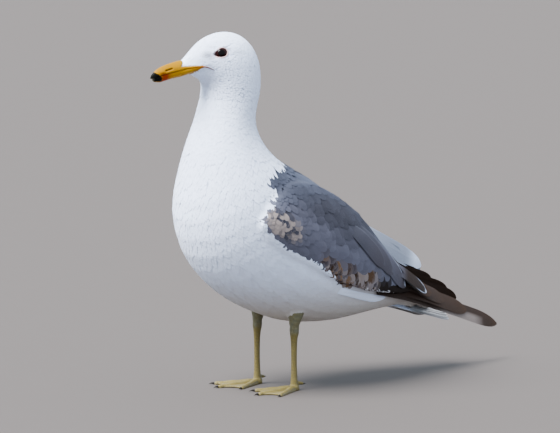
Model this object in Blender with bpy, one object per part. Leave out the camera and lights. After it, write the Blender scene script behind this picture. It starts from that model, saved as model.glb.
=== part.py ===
"""A life-size gull standing at rest, head raised and turned a little to its right.

The bird faces -Y, its left side is +X, and it stands on Z = 0. Sizes are in millimetres
and become metres where a mesh is made. Head, neck and trunk are one lofted body that is
parted by thin plane cuts; wings, bill, eyes and legs are set into it with a small gap.
"""

import math

import bmesh
import bpy
from mathutils import Matrix, Vector

MM = 0.001
GAP = 0.35
MOST_SHELL_FACTOR = 2.0  # limits how far a sharp corner moves when a helper is grown
LEFT, RIGHT = 1, -1
SIDES = ((LEFT, "left"), (RIGHT, "right"))
ACROSS, BACK, UP = Vector((1, 0, 0)), Vector((0, 1, 0)), Vector((0, 0, 1))

# The body's sections from bill base to rump: dorsal (y, z), ventral (y, z), half width.
BODY_SECTIONS = (
    ((-106.6, 323.2), (-99.5, 309.0), 6.6),
    ((-100.8, 327.4), (-96.0, 307.4), 9.2),
    ((-93.0, 334.4), (-91.0, 305.2), 12.4),
    ((-83.0, 341.4), (-87.0, 302.8), 15.8),
    ((-71.0, 345.8), (-84.0, 300.2), 19.2),
    ((-58.0, 347.0), (-82.0, 297.6), 22.2),
    ((-44.0, 343.4), (-81.0, 294.6), 24.4),
    ((-32.0, 333.4), (-81.0, 291.0), 25.6),
    ((-24.5, 319.0), (-82.0, 286.0), 26.2),
    ((-22.3, 303.0), (-83.5, 280.0), 26.5),
    ((-23.5, 288.0), (-86.0, 273.0), 27.2),
    ((-28.0, 273.0), (-88.5, 264.0), 28.4),
    ((-29.5, 259.0), (-93.0, 252.0), 31.0),
    ((-24.0, 244.0), (-99.0, 236.0), 36.0),
    ((-14.0, 231.0), (-105.0, 208.0), 45.0),
    ((0.0, 220.5), (-108.0, 173.0), 54.5),
    ((16.0, 212.0), (-98.0, 137.0), 60.5),
    ((34.0, 202.0), (-76.0, 108.0), 63.0),
    ((52.0, 190.0), (-46.0, 86.0), 63.0),
    ((70.0, 177.5), (-12.0, 70.5), 60.5),
    ((88.0, 163.0), (22.0, 61.5), 55.5),
    ((111.0, 140.6), (66.0, 59.1), 45.4),
    ((135.0, 115.5), (110.0, 63.0), 33.0),
    ((155.0, 96.8), (144.0, 65.3), 21.4),
    ((175.0, 78.2), (170.0, 63.5), 15.0),
    ((193.0, 64.5), (190.0, 58.3), 10.0),
)
SECTION_CENTRE = 0.52  # share of the way from the dorsal to the ventral point
HEAD_TURN = math.radians(-8)
TURN_FROM, TURN_TO = 8, 14  # sections over which the neck takes up the turn
NECK_AXIS_Y = -52.0
HEAD_CUT, NECK_CUT = 9.6, 14.6  # where the neck ends, in sections
RING_POINTS = 26
RINGS_PER_SECTION = 2

# The head's own measures start at the middle of the skull: ahead, to its left, up.
SKULL = (0.0, -50.8, 321.0)
EYE_PLACE = (20.6, 13.0, 6.8)
EYE_RADIUS = 7.5
EYE_SEGMENTS, EYE_RINGS = 14, 9

# Upper bill: ahead of the skull, culmen or upper edge, mouth line, half width.
BILL_UPPER = (
    (90.4, -12.2, -13.6, 0.5),
    (89.3, -10.2, -13.9, 1.3),
    (87.0, -8.0, -12.9, 2.2),
    (83.5, -5.3, -11.4, 3.0),
    (78.5, -3.0, -10.0, 3.8),
    (72.0, -1.1, -8.7, 4.6),
    (65.0, 0.4, -7.5, 5.4),
    (59.0, 1.5, -6.5, 6.3),
    (55.0, 1.6, -5.6, 7.4),
    (50.0, -1.6, -4.8, 9.6),
    (44.0, -2.0, -4.0, 12.3),
    (38.0, -2.2, -3.8, 14.5),
    (33.0, -4.0, -5.2, 16.2),
)
# Lower bill: ahead of the skull, mouth line, lower edge, half width.
BILL_LOWER = (
    (88.2, -14.6, -15.8, 0.7),
    (86.0, -13.2, -16.9, 1.7),
    (80.5, -11.1, -17.5, 2.8),
    (74.0, -9.6, -16.1, 3.6),
    (66.0, -8.2, -14.5, 4.6),
    (58.0, -6.8, -13.6, 6.0),
    (50.0, -5.3, -11.4, 9.2),
    (44.0, -4.5, -8.4, 12.0),
    (38.0, -4.3, -6.2, 14.2),
    (33.0, -5.7, -6.9, 16.0),
)
BILL_POINTS = 10
BILL_ROUNDNESS = 0.8  # 1 is an ellipse, less is squarer

# The folded wing's sections from the bend back: upper edge, lower edge (both x, y, z), bulge.
WING_FRONT = (
    ((55.0, -62.0, 172.0), (55.0, -62.0, 166.0), 0.5),
    ((55.0, -52.0, 186.0), (58.0, -53.0, 151.0), 3.0),
    ((51.0, -34.0, 198.0), (61.0, -33.0, 138.0), 6.0),
    ((45.0, -12.0, 204.0), (63.0, -10.0, 127.0), 9.0),
    ((38.0, 12.0, 201.0), (62.0, 13.0, 114.0), 12.0),
    ((33.0, 36.0, 193.0), (59.0, 38.0, 103.0), 13.0),
    ((29.0, 60.0, 180.0), (55.0, 63.0, 94.0), 13.0),
    ((27.0, 84.0, 164.0), (48.0, 88.0, 88.0), 11.0),
)
WING_REAR = {
    LEFT: (
        ((24.0, 107.0, 141.0), (41.0, 112.0, 84.0), 8.0),
        ((21.0, 130.0, 119.0), (34.0, 133.0, 81.0), 5.0),
        ((21.0, 150.0, 99.0), (27.0, 150.0, 80.5), 2.0),
        ((23.0, 163.0, 86.0), (24.0, 162.0, 80.5), 0.5),
    ),
    RIGHT: (
        ((22.0, 112.0, 147.0), (42.0, 114.0, 88.0), 8.0),
        ((18.0, 142.0, 134.5), (36.0, 142.0, 86.0), 5.0),
        ((17.0, 172.0, 120.0), (29.0, 170.0, 86.0), 3.0),
        ((19.0, 196.0, 103.0), (23.0, 194.0, 90.0), 1.0),
        ((20.0, 205.0, 96.0), (21.0, 205.0, 92.0), 0.3),
    ),
}
WING_POINTS = 8
WING_RINGS_PER_SECTION = 1.5
WING_EDGE_ARCH = 0.35  # how far into its arch the wing's upper edge already is, in points
WING_LIFT, WING_EDGE_LIFT = 4.0, 1.2
WING_THICKNESS, WING_EDGE_THICKNESS = 7.0, 2.0
PLACE_HALVINGS = 24  # of the search for the section beside a point

# The folded primaries: base and tip (x, y, z), width, and how far the vane turns from level.
PRIMARIES = {
    LEFT: (
        ((25.0, 134.0, 84.0), (4.0, 281.0, 35.0), 16.5, -60.0),
        ((23.0, 134.0, 91.0), (11.0, 236.0, 53.5), 18.0, -56.0),
        ((21.0, 134.0, 97.0), (15.0, 204.0, 67.5), 18.0, -52.0),
    ),
    RIGHT: (
        ((-27.0, 150.0, 92.0), (-8.0, 239.0, 62.0), 19.0, 60.0),
        ((-25.0, 150.0, 98.0), (-11.0, 230.0, 70.0), 19.0, 56.0),
        ((-23.0, 150.0, 103.0), (-14.0, 212.0, 81.0), 19.0, 52.0),
    ),
}
BLADE_SHARES = (0.0, 0.3, 0.6, 0.8, 0.92, 0.98, 1.0)
BLADE_POINTS = 6
BLADE_TIP_POWER = 6
BLADE_END_WIDTH = 0.6
BLADE_NARROWING = 0.35
BLADE_THICKNESS = 2.6
BLADE_THINNING = 0.55

# The tail from its root: y, height of its edges, half width, arch, thickness.
TAIL_SECTIONS = (
    (156.0, 68.5, 13.0, 4.4, 4.5),
    (175.0, 60.0, 17.0, 4.5, 3.2),
    (192.0, 55.5, 19.5, 4.2, 2.4),
    (205.0, 53.5, 20.5, 4.0, 1.7),
    (211.0, 53.0, 20.0, 3.6, 1.2),
)
TAIL_POINTS = 8
TAIL_ROUND = 7.0
TAIL_EDGE_THINNING = 0.6

# Legs: height, y, half width, half depth.
FOOT_APART = 55.0
FOOT_Y = 3.2  # the feet stand under the bird's weight
LEG_POINTS = 12
TIBIA = (
    (84.0, 9.0, 9.0, 11.0),
    (74.0, 6.0, 7.0, 8.5),
    (67.0, 4.4, 5.2, 6.0),
    (62.5, 3.8, 4.2, 4.8),
    (59.6, 3.6, 4.0, 4.7),
)
TARSUS = (
    (59.2, 3.6, 4.0, 4.7),
    (55.5, 3.6, 4.1, 4.6),
    (51.0, 3.3, 3.1, 3.7),
    (44.0, 3.2, 2.5, 3.2),
    (34.0, 3.2, 2.3, 3.0),
    (24.0, 3.2, 2.3, 3.0),
    (14.0, 3.4, 2.6, 3.2),
    (8.0, 3.5, 3.1, 3.6),
    (6.2, 3.5, 3.2, 3.7),
)
ANKLE = ((-1.7, 3.4, 4.2), (0.3, 4.2, 5.0), (2.2, 4.4, 5.2), (4.4, 4.0, 4.8), (5.8, 3.2, 3.8))
ANKLE_Y = 3.7
GROUND_SIZE = 130.0  # the block that makes the soles flat

# Front toes: angle from straight ahead (inner, middle, outer) and length from the ankle.
FRONT_TOES = ((math.radians(-27), 38.0), (math.radians(3), 46.0), (math.radians(31), 41.0))
TOE_SHARES = (0.02, 0.24, 0.42, 0.6, 0.78, 0.94, 1.0)
TOE_POINTS = 8
TOE_WIDTH = (6.4, 3.8)
TOE_HEIGHT = (5.0, 2.9)
TOE_PAD = 0.12
WEB_POINTS = 7
WEB_REACH = 0.94
WEB_CURVE = 0.13
WEB_LOW, WEB_HIGH = 0.3, 1.6
WEB_HUB = 1.0
HIND_TOE_ANGLE = math.radians(172)
HIND_TOE_START, HIND_TOE_LENGTH = 2.0, 8.0
HIND_TOE_UP, HIND_TOE_DROP = 7.5, 1.5
HIND_TOE_RADIUS, HIND_TOE_NARROWING = 2.1, 0.8
HIND_TOE_SHARES = (0.0, 0.5, 1.0)
HIND_CLAW_DROP = 3.2
# Each claw: length, thickness. Its points lie at these shares of the length.
FRONT_CLAW = (6.0, 2.8)
HIND_CLAW = (3.3, 1.68)
CLAW_SHARES = (0.0, 0.4, 0.75, 1.0)
CLAW_POINTS = 6
CLAW_GAP = 0.55
CLAW_UP, CLAW_TIP_UP = 1.4, 0.5
CLAW_ARCH = 0.6
CLAW_NARROWING = 0.85
CLAW_FLATNESS = 0.75

BODY_WHITE = (0.85, 0.86, 0.88)
WING_GREY = (0.13, 0.135, 0.16)
PRIMARY_BLACK = (0.02, 0.017, 0.015)
BILL_YELLOW = (0.8, 0.42, 0.03)
EYE_BROWN = (0.012, 0.006, 0.004)
LEG_GREEN = (0.38, 0.36, 0.1)
LEG_GREY = (0.3, 0.32, 0.22)
CLAW_BLACK = (0.02, 0.018, 0.016)


def spline(rows, place):
    """The Catmull-Rom curve through rows of numbers, at a place counted in rows."""
    last = len(rows) - 1
    index = min(max(int(math.floor(place)), 0), last - 1)
    share = place - index
    before, start, end, after = (rows[min(max(index + k, 0), last)] for k in (-1, 0, 1, 2))
    return [
        b
        + 0.5 * share * (c - a + share * (2 * a - 5 * b + 4 * c - d + share * (3 * (b - c) + d - a)))
        for a, b, c, d in zip(before, start, end, after, strict=True)
    ]


def smooth_step(low, high, value):
    share = min(max((value - low) / (high - low), 0.0), 1.0)
    return share * share * (3 - 2 * share)


def turned(point, amount):
    """The point turned about the upright axis of the neck."""
    axis = Vector((0.0, NECK_AXIS_Y, 0.0))
    return Matrix.Rotation(HEAD_TURN * amount, 3, "Z") @ (Vector(point) - axis) + axis


def section_at(place):
    """Centre, dorsal direction, rise, drop and half width of the body at a place in sections."""
    rows = [(*dorsal, *ventral, width) for dorsal, ventral, width in BODY_SECTIONS]
    dorsal_y, dorsal_z, ventral_y, ventral_z, width = spline(rows, place)
    dorsal = Vector((0.0, dorsal_y, dorsal_z))
    ventral = Vector((0.0, ventral_y, ventral_z))
    centre = dorsal.lerp(ventral, SECTION_CENTRE)
    rise, drop = dorsal - centre, ventral - centre
    return centre, rise.normalized(), rise.length, drop.length, width


def body_point(place, angle, lift=0.0):
    """A point on the body: angle 0 is dorsal, 90 degrees the left side. Lift is outwards."""
    centre, up, rise, drop, width = section_at(place)
    height = (rise if math.cos(angle) > 0 else drop) + lift
    point = centre + up * height * math.cos(angle) + Vector(((width + lift) * math.sin(angle), 0, 0))
    return turned(point, 1 - smooth_step(TURN_FROM, TURN_TO, place))


def head_point(ahead, left, up):
    """A point given in the head's own measures."""
    return turned(Vector(SKULL) + Vector((left, -ahead, up)), 1.0)


def shade(obj, colour, roughness):
    """Gives an object its material: a Principled BSDF with one colour and roughness."""
    material = bpy.data.materials.new(obj.name)
    material.use_nodes = True
    surface = material.node_tree.nodes["Principled BSDF"]
    surface.inputs["Base Color"].default_value = (*colour, 1.0)
    surface.inputs["Roughness"].default_value = roughness
    obj.data.materials.append(material)
    obj.data.shade_smooth()


def mesh_object(name, shape, collection):
    """Makes an object of a bmesh whose vertices are in millimetres."""
    bmesh.ops.triangulate(shape, faces=shape.faces)
    bmesh.ops.recalc_face_normals(shape, faces=shape.faces)
    bmesh.ops.scale(shape, vec=(MM, MM, MM), verts=shape.verts)
    mesh = bpy.data.meshes.new(name)
    shape.to_mesh(mesh)
    shape.free()
    obj = bpy.data.objects.new(name, mesh)
    collection.objects.link(obj)
    return obj


def loft(name, rings, collection):
    """A closed skin over rings with the same number of points, its ends closed by fans."""
    shape = bmesh.new()
    rows = [[shape.verts.new(point) for point in ring] for ring in rings]
    for near, far in zip(rows, rows[1:], strict=False):
        for i, _ in enumerate(near):
            j = (i + 1) % len(near)
            shape.faces.new((near[i], near[j], far[j], far[i]))
    for ring in (rows[0], rows[-1]):
        middle = shape.verts.new(sum((vertex.co for vertex in ring), Vector()) / len(ring))
        for i, _ in enumerate(ring):
            shape.faces.new((ring[i], ring[(i + 1) % len(ring)], middle))
    return mesh_object(name, shape, collection)


def boolean(obj, operation, other, solver="EXACT"):
    """Cuts or joins an object with a helper, and applies it at once."""
    modifier = obj.modifiers.new(operation, "BOOLEAN")
    modifier.operation = operation
    modifier.object = other
    modifier.solver = solver
    bpy.context.view_layer.update()
    result = bpy.data.meshes.new_from_object(obj.evaluated_get(bpy.context.evaluated_depsgraph_get()))
    obj.modifiers.clear()
    old, obj.data = obj.data, result
    result.name = obj.name
    bpy.data.meshes.remove(old)


def grown(obj, amount, helpers):
    """A helper copy of an object whose surface lies outside it by the amount."""
    copy = bpy.data.objects.new(obj.name + "_grown", obj.data.copy())
    helpers.objects.link(copy)
    shape = bmesh.new()
    shape.from_mesh(copy.data)
    shape.normal_update()
    moves = [
        vertex.normal * amount * MM * min(MOST_SHELL_FACTOR, vertex.calc_shell_factor())
        for vertex in shape.verts
    ]
    for vertex, move in zip(shape.verts, moves, strict=True):
        vertex.co += move
    shape.to_mesh(copy.data)
    shape.free()
    return copy


def body_stretch(name, first, last, collection):
    """The part of the body between two places, closed by a flat at each end."""
    count = max(2, round((last - first) * RINGS_PER_SECTION))
    rings = []
    for k in range(count + 1):
        place = first + (last - first) * k / count
        centre, up, *_ = section_at(place)
        back = Vector((0, up.z, -up.y)) * (GAP if k == 0 and first else 0)
        rings.append([body_point(place, math.tau * i / RING_POINTS) + back for i in range(RING_POINTS)])
    return loft(name, rings, collection)


def bill_ring(ahead, crown, flat, half_width):
    """A half-round section of the bill: flat along the mouth, round on the other side."""
    return [
        head_point(
            ahead,
            half_width * math.cos(math.pi * i / BILL_POINTS),
            flat + (crown - flat) * math.sin(math.pi * i / BILL_POINTS) ** BILL_ROUNDNESS,
        )
        for i in range(BILL_POINTS + 1)
    ]


def make_bill(gull):
    upper = loft("bill_upper", [bill_ring(f, top, mouth, w) for f, top, mouth, w in BILL_UPPER], gull)
    lower = loft("bill_lower", [bill_ring(f, low, mouth, w) for f, mouth, low, w in BILL_LOWER], gull)
    for piece in (upper, lower):
        shade(piece, BILL_YELLOW, 0.35)
    return upper, lower


def make_eyes(gull):
    ahead, out, up = EYE_PLACE
    eyes = []
    for side, side_name in SIDES:
        shape = bmesh.new()
        bmesh.ops.create_uvsphere(
            shape, u_segments=EYE_SEGMENTS, v_segments=EYE_RINGS, radius=EYE_RADIUS
        )
        bmesh.ops.translate(shape, vec=head_point(ahead, side * out, up), verts=shape.verts)
        eye = mesh_object("eye_" + side_name, shape, gull)
        shade(eye, EYE_BROWN, 0.1)
        eyes.append(eye)
    return eyes


def place_beside(point):
    """The place of the body's section whose plane holds the point."""
    near, far = NECK_CUT, len(BODY_SECTIONS) - 1
    for _ in range(PLACE_HALVINGS):
        middle = (near + far) / 2
        centre, up, *_ = section_at(middle)
        along = Vector((0, up.z, -up.y))
        if (Vector(point) - centre).dot(along) > 0:
            near = middle
        else:
            far = middle
    return near


def clear_of_body(point, lift):
    """The point, moved out from the body's middle until it lies outside it by the lift."""
    centre, up, rise, drop, width = section_at(place_beside(point))
    offset = Vector(point) - centre
    height = offset.dot(up)
    reach = math.hypot(height / (rise if height > 0 else drop), offset.x / width)
    wanted = offset.length / reach + lift
    return centre + offset * max(1.0, wanted / offset.length)


def wing_ring(upper, lower, bulge, side):
    """A section of the folded wing: an outer arc and, a little further in, an inner one."""
    upper, lower = Vector(upper), Vector(lower)
    outward = (lower - upper).cross(BACK).normalized()
    if outward.x < 0:
        outward.negate()
    outer, inner = [], []
    for i in range(WING_POINTS):
        arch = math.sin(math.pi * (i + WING_EDGE_ARCH) / (WING_POINTS - 1 + 2 * WING_EDGE_ARCH))
        raw = upper.lerp(lower, i / (WING_POINTS - 1)) + outward * bulge * arch
        point = clear_of_body(raw, WING_EDGE_LIFT + (WING_LIFT - WING_EDGE_LIFT) * arch)
        centre, *_ = section_at(place_beside(point))
        thickness = WING_EDGE_THICKNESS + (WING_THICKNESS - WING_EDGE_THICKNESS) * arch
        outer.append(point)
        inner.append(point + (centre - point).normalized() * thickness)
    return [Vector((side * p.x, p.y, p.z)) for p in outer + inner[::-1]]


def make_wing(side, side_name, gull):
    rows = WING_FRONT + WING_REAR[side]
    last = len(rows) - 1
    count = round(last * WING_RINGS_PER_SECTION)
    flat_rows = [(*upper, *lower, bulge) for upper, lower, bulge in rows]
    rings = []
    for k in range(count + 1):
        row = spline(flat_rows, last * k / count)
        rings.append(wing_ring(row[:3], row[3:6], row[6], side))
    wing = loft("wing_" + side_name, rings, gull)
    shade(wing, WING_GREY, 0.75)
    return wing


def blade(name, base, tip, base_width, droop, collection):
    """One flight feather: a long lens with a rounded end, its vane turned by the droop."""
    base, tip = Vector(base), Vector(tip)
    along = (tip - base).normalized()
    across = (Vector((math.cos(droop), 0, math.sin(droop)))).normalized()
    across = (across - along * across.dot(along)).normalized()
    face = along.cross(across)
    rings = []
    for share in BLADE_SHARES:
        rounding = math.sqrt(max(0.0, 1 - share**BLADE_TIP_POWER))
        width = base_width * (1 - BLADE_NARROWING * share) * rounding + BLADE_END_WIDTH
        thick = BLADE_THICKNESS * (1 - BLADE_THINNING * share)
        rings.append(oval(base.lerp(tip, share), across, width / 2, face, thick / 2, BLADE_POINTS))
    return loft(name, rings, collection)


def make_wingtip(side, side_name, neighbours, gull, helpers):
    """The folded primaries: blades joined in one, the longest lowest, and let into their neighbours."""
    whole = bpy.data.objects.new("wingtip_" + side_name, bpy.data.meshes.new("wingtip_" + side_name))
    gull.objects.link(whole)
    for i, (base, tip, width, droop) in enumerate(PRIMARIES[side]):
        one = blade(f"primary_{side_name}_{i}", base, tip, width, math.radians(droop), helpers)
        for other in neighbours:
            boolean(other, "DIFFERENCE", grown(one, GAP, helpers))
        if i == 0:
            whole.data = one.data.copy()
        else:
            boolean(whole, "UNION", one)
    shade(whole, PRIMARY_BLACK, 0.6)
    return whole


def make_tail(gull):
    rings = []
    for along, height, half_width, arch, thick in TAIL_SECTIONS:
        above, below = [], []
        for i in range(TAIL_POINTS + 1):
            share = 2 * i / TAIL_POINTS - 1
            back = along - TAIL_ROUND * share**2
            point = Vector((share * half_width, back, height + arch * (1 - share**2)))
            above.append(point)
            below.append(point - Vector((0, 0, thick * (1 - TAIL_EDGE_THINNING * share**2))))
        rings.append(above + below[::-1])
    tail = loft("tail", rings, gull)
    shade(tail, BODY_WHITE, 0.75)
    return tail


def oval(centre, across, half_width, rise, half_height, count):
    """Points around a centre on an oval with these two half axes."""
    return [
        centre
        + across * half_width * math.cos(math.tau * i / count)
        + rise * half_height * math.sin(math.tau * i / count)
        for i in range(count)
    ]


def leg_ring(side, y, z, half_width, half_depth):
    """A level section of a leg."""
    centre = Vector((side * FOOT_APART / 2, y, z))
    return oval(centre, ACROSS, half_width, BACK, half_depth, LEG_POINTS)


def make_leg(side, side_name, gull):
    made = []
    for name, rows, colour in (("tibia", TIBIA, LEG_GREY), ("tarsus", TARSUS, LEG_GREEN)):
        rings = [leg_ring(side, y, z, half_x, half_y) for z, y, half_x, half_y in rows]
        piece = loft(f"{name}_{side_name}", rings, gull)
        shade(piece, colour, 0.6)
        made.append(piece)
    return made


def toe_point(side, angle, reach, up=0.0):
    """A point beside the ankle on the ground: angle 0 is ahead, positive to the outside."""
    return Vector(
        (
            side * (FOOT_APART / 2 + reach * math.sin(angle)),
            FOOT_Y - reach * math.cos(angle),
            up,
        )
    )


def toe(name, side, angle, length, collection):
    """A toe that lies flat on the ground, with pads at its joints."""
    rings = []
    across = Vector((side * math.cos(angle), math.sin(angle), 0))
    for k, share in enumerate(TOE_SHARES):
        pad = 1 + TOE_PAD * (k % 2)
        half_width = (TOE_WIDTH[0] + (TOE_WIDTH[1] - TOE_WIDTH[0]) * share) / 2 * pad
        height = (TOE_HEIGHT[0] + (TOE_HEIGHT[1] - TOE_HEIGHT[0]) * share) * pad
        middle = toe_point(side, angle, length * share)
        rings.append(oval(middle, across, half_width, UP, height, TOE_POINTS))
    return loft(name, rings, collection)


def web(name, side, helpers):
    """The thin skin between the three front toes, its front edges curved in."""
    outline = []
    pairs = zip(FRONT_TOES, FRONT_TOES[1:], strict=False)
    for (near_angle, near_length), (far_angle, far_length) in pairs:
        for i in range(1 if outline else 0, WEB_POINTS):
            share = i / (WEB_POINTS - 1)
            angle = near_angle + (far_angle - near_angle) * share
            reach = near_length + (far_length - near_length) * share
            reach *= WEB_REACH * (1 - WEB_CURVE * math.sin(math.pi * share))
            outline.append((angle, reach))
    shape = bmesh.new()
    layers = []
    for height in (WEB_LOW, WEB_HIGH):
        hub = shape.verts.new(toe_point(side, 0, WEB_HUB, height))
        layers.append([hub] + [shape.verts.new(toe_point(side, a, r, height)) for a, r in outline])
    low, high = layers
    for layer in layers:
        for i in range(1, len(layer) - 1):
            shape.faces.new((layer[0], layer[i], layer[i + 1]))
    for i, _ in enumerate(low):
        j = (i + 1) % len(low)
        shape.faces.new((low[i], low[j], high[j], high[i]))
    return mesh_object(name, shape, helpers)


def make_foot(side, side_name, gull, helpers):
    name = "foot_" + side_name
    ankle = [leg_ring(side, ANKLE_Y, z, half_x, half_y) for z, half_x, half_y in ANKLE]
    foot = loft(name, ankle, gull)
    for i, (angle, length) in enumerate(FRONT_TOES):
        boolean(foot, "UNION", toe(f"{name}_toe_{i}", side, angle, length, helpers), "MANIFOLD")
    boolean(foot, "UNION", web(name + "_web", side, helpers), "MANIFOLD")
    hind = []
    for share in HIND_TOE_SHARES:
        reach = HIND_TOE_START + share * HIND_TOE_LENGTH
        centre = toe_point(side, HIND_TOE_ANGLE, reach, HIND_TOE_UP - HIND_TOE_DROP * share)
        radius = HIND_TOE_RADIUS - HIND_TOE_NARROWING * share
        hind.append(oval(centre, ACROSS, radius, UP, radius, TOE_POINTS))
    boolean(foot, "UNION", loft(name + "_hind_toe", hind, helpers), "MANIFOLD")
    ground = bmesh.new()
    bmesh.ops.create_cube(ground, size=GROUND_SIZE)
    middle = (side * FOOT_APART / 2, FOOT_Y, -GROUND_SIZE / 2)
    bmesh.ops.translate(ground, vec=middle, verts=ground.verts)
    boolean(foot, "DIFFERENCE", mesh_object(name + "_ground", ground, helpers), "MANIFOLD")
    shade(foot, LEG_GREEN, 0.6)
    for toe_name, (angle, length) in zip(("inner", "middle", "outer"), FRONT_TOES, strict=True):
        make_claw(f"claw_{side_name}_{toe_name}", side, angle, length, 0.0, FRONT_CLAW, gull)
    reach, up = HIND_TOE_START + HIND_TOE_LENGTH, HIND_TOE_UP - HIND_CLAW_DROP
    make_claw(f"claw_{side_name}_hind", side, HIND_TOE_ANGLE, reach, up, HIND_CLAW, gull)
    return foot


def make_claw(name, side, angle, start, up, size, gull):
    """A small curved cone just ahead of a toe's end."""
    length, thick = size
    ahead = (toe_point(side, angle, 1) - toe_point(side, angle, 0)).normalized()
    across = Vector((-ahead.y, ahead.x, 0))
    rings = []
    for share in CLAW_SHARES:
        half = thick / 2 * (1 - CLAW_NARROWING * share)
        arch = CLAW_ARCH * math.sin(math.pi * share)
        rise = up + CLAW_UP + arch - share * (CLAW_UP - CLAW_TIP_UP)
        centre = toe_point(side, angle, start + CLAW_GAP + length * share, rise)
        rings.append(oval(centre, across, half * CLAW_FLATNESS, UP, half, CLAW_POINTS))
    shade(loft(name, rings, gull), CLAW_BLACK, 0.4)


def collections():
    """The gull's own collection, and one for cutters that isn't rendered."""
    made = []
    for name in ("gull", "cutters"):
        collection = bpy.data.collections.new(name)
        bpy.context.scene.collection.children.link(collection)
        made.append(collection)
    made[1].hide_render = True
    return made


def settle(gull):
    """Moves everything so that the origin is under the middle of the box around the gull."""
    points = [vertex.co for obj in gull.objects for vertex in obj.data.vertices]
    low = [min(point[axis] for point in points) for axis in range(3)]
    high = [max(point[axis] for point in points) for axis in range(3)]
    shift = Vector((-(low[0] + high[0]) / 2, -(low[1] + high[1]) / 2, -low[2]))
    for obj in gull.objects:
        obj.data.transform(Matrix.Translation(shift))


def main():
    for obj in list(bpy.data.objects):
        bpy.data.objects.remove(obj)
    gull, helpers = collections()
    head = body_stretch("head", 0, HEAD_CUT, gull)
    neck = body_stretch("neck", HEAD_CUT, NECK_CUT, gull)
    trunk = body_stretch("trunk", NECK_CUT, len(BODY_SECTIONS) - 1, gull)
    for piece in (head, neck, trunk):
        shade(piece, BODY_WHITE, 0.8)
    for piece in (*make_bill(gull), *make_eyes(gull)):
        boolean(head, "DIFFERENCE", grown(piece, GAP, helpers))
    tail = make_tail(gull)
    boolean(tail, "DIFFERENCE", grown(trunk, GAP, helpers))
    for side, side_name in SIDES:
        wing = make_wing(side, side_name, gull)
        boolean(trunk, "DIFFERENCE", grown(wing, GAP, helpers))
        tip = make_wingtip(side, side_name, (trunk,), gull, helpers)
        boolean(tip, "DIFFERENCE", grown(wing, GAP, helpers))
        tibia, tarsus = make_leg(side, side_name, gull)
        boolean(tibia, "DIFFERENCE", grown(trunk, GAP, helpers))
        foot = make_foot(side, side_name, gull, helpers)
        boolean(foot, "DIFFERENCE", grown(tarsus, GAP, helpers))
    for helper in helpers.objects:
        helper.hide_render = True
        helper.display_type = "WIRE"
    settle(gull)


main()
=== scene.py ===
"""Looks of a still, life-size gull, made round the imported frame.

Work is done in millimetres from a point on the ground between the legs, with the bird
facing -Y, its left side +X and Z up. One skin covers the flesh, closed thin vanes lie over
it as the coat, and wing and tail quills, bill, eyes, legs and claws are their own pieces.
"""

import dataclasses
import functools
import math
from collections.abc import Callable

import bmesh
import bpy
import numpy as np
from bpy.props import FloatProperty, FloatVectorProperty, PointerProperty
from mathutils import Matrix, Vector
from mathutils.bvhtree import BVHTree


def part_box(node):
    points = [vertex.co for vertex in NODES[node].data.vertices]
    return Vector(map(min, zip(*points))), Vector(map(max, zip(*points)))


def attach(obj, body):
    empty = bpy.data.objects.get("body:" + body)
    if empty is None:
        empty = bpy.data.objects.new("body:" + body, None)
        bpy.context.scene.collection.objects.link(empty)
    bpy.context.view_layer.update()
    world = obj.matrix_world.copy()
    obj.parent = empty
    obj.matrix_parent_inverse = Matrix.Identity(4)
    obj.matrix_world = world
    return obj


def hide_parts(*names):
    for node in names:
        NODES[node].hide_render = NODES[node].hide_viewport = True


bl_info = {
    "name": "Still gull finish",
    "version": (1, 0, 0),
    "blender": (4, 5, 0),
    "location": "3D View > Sidebar > Gull",
    "description": "Skin, feathers, bill, eyes and legs for a life-size standing gull",
    "category": "Object",
}

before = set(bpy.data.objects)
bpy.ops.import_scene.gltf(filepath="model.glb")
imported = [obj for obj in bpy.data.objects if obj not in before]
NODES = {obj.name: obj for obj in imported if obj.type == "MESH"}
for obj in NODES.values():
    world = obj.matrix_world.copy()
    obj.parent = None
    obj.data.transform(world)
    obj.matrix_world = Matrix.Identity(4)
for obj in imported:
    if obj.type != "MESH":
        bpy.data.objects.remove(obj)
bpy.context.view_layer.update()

MM = 0.001
SEED = 11
SIDES = (("left", 1), ("right", -1))
UP = np.array((0.0, 0.0, 1.0))
SHANK_LEAN = 4.05  # how far the shank's middle lies behind the ground point
EYE_AHEAD, EYE_UP = 20.6, 6.8  # the eyeballs' centres from the middle of the skull
EYE_RADIUS = 7.5


# ---- Frames ----------------------------------------------------------------------------


def box_middle(name):
    low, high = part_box(name)
    return np.array((low + high) / 2)


def ground_origin():
    """The work frame's ground point, between the legs, in the frame's metres."""
    middle = (box_middle("tarsus_left") + box_middle("tarsus_right")) / 2
    return np.array((middle[0], middle[1] - SHANK_LEAN * MM, 0.0))


ORIGIN = ground_origin()


def to_work(points):
    return (np.asarray(points, float) - ORIGIN) / MM


def to_frame(points):
    return np.asarray(points, float) * MM + ORIGIN


def unit(vectors):
    return vectors / np.maximum(np.linalg.norm(vectors, axis=-1, keepdims=True), 1e-9)


def flatten(direction, normal):
    return unit(direction - normal * (direction * normal).sum(-1, keepdims=True))


def smooth_step(value, low, high):
    share = np.clip((value - low) / (high - low), 0.0, 1.0)
    return share * share * (3 - 2 * share)


def fade(value, low, high):
    """1 up to low, 0 from high and smooth between."""
    return smooth_step(-value, -high, -low)


def mound(value, middle, spread):
    """1 at the middle, falling off over the spread on both sides."""
    return np.exp(-(((value - middle) / spread) ** 2))


def curve(places, stops):
    """Values along a line through (place, value) stops, level beyond its ends."""
    return np.interp(places, *np.array(stops, float).T)


def mix(a, b, share):
    share = np.asarray(share)[..., None]
    return np.asarray(a) * (1 - share) + np.asarray(b) * share


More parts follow.
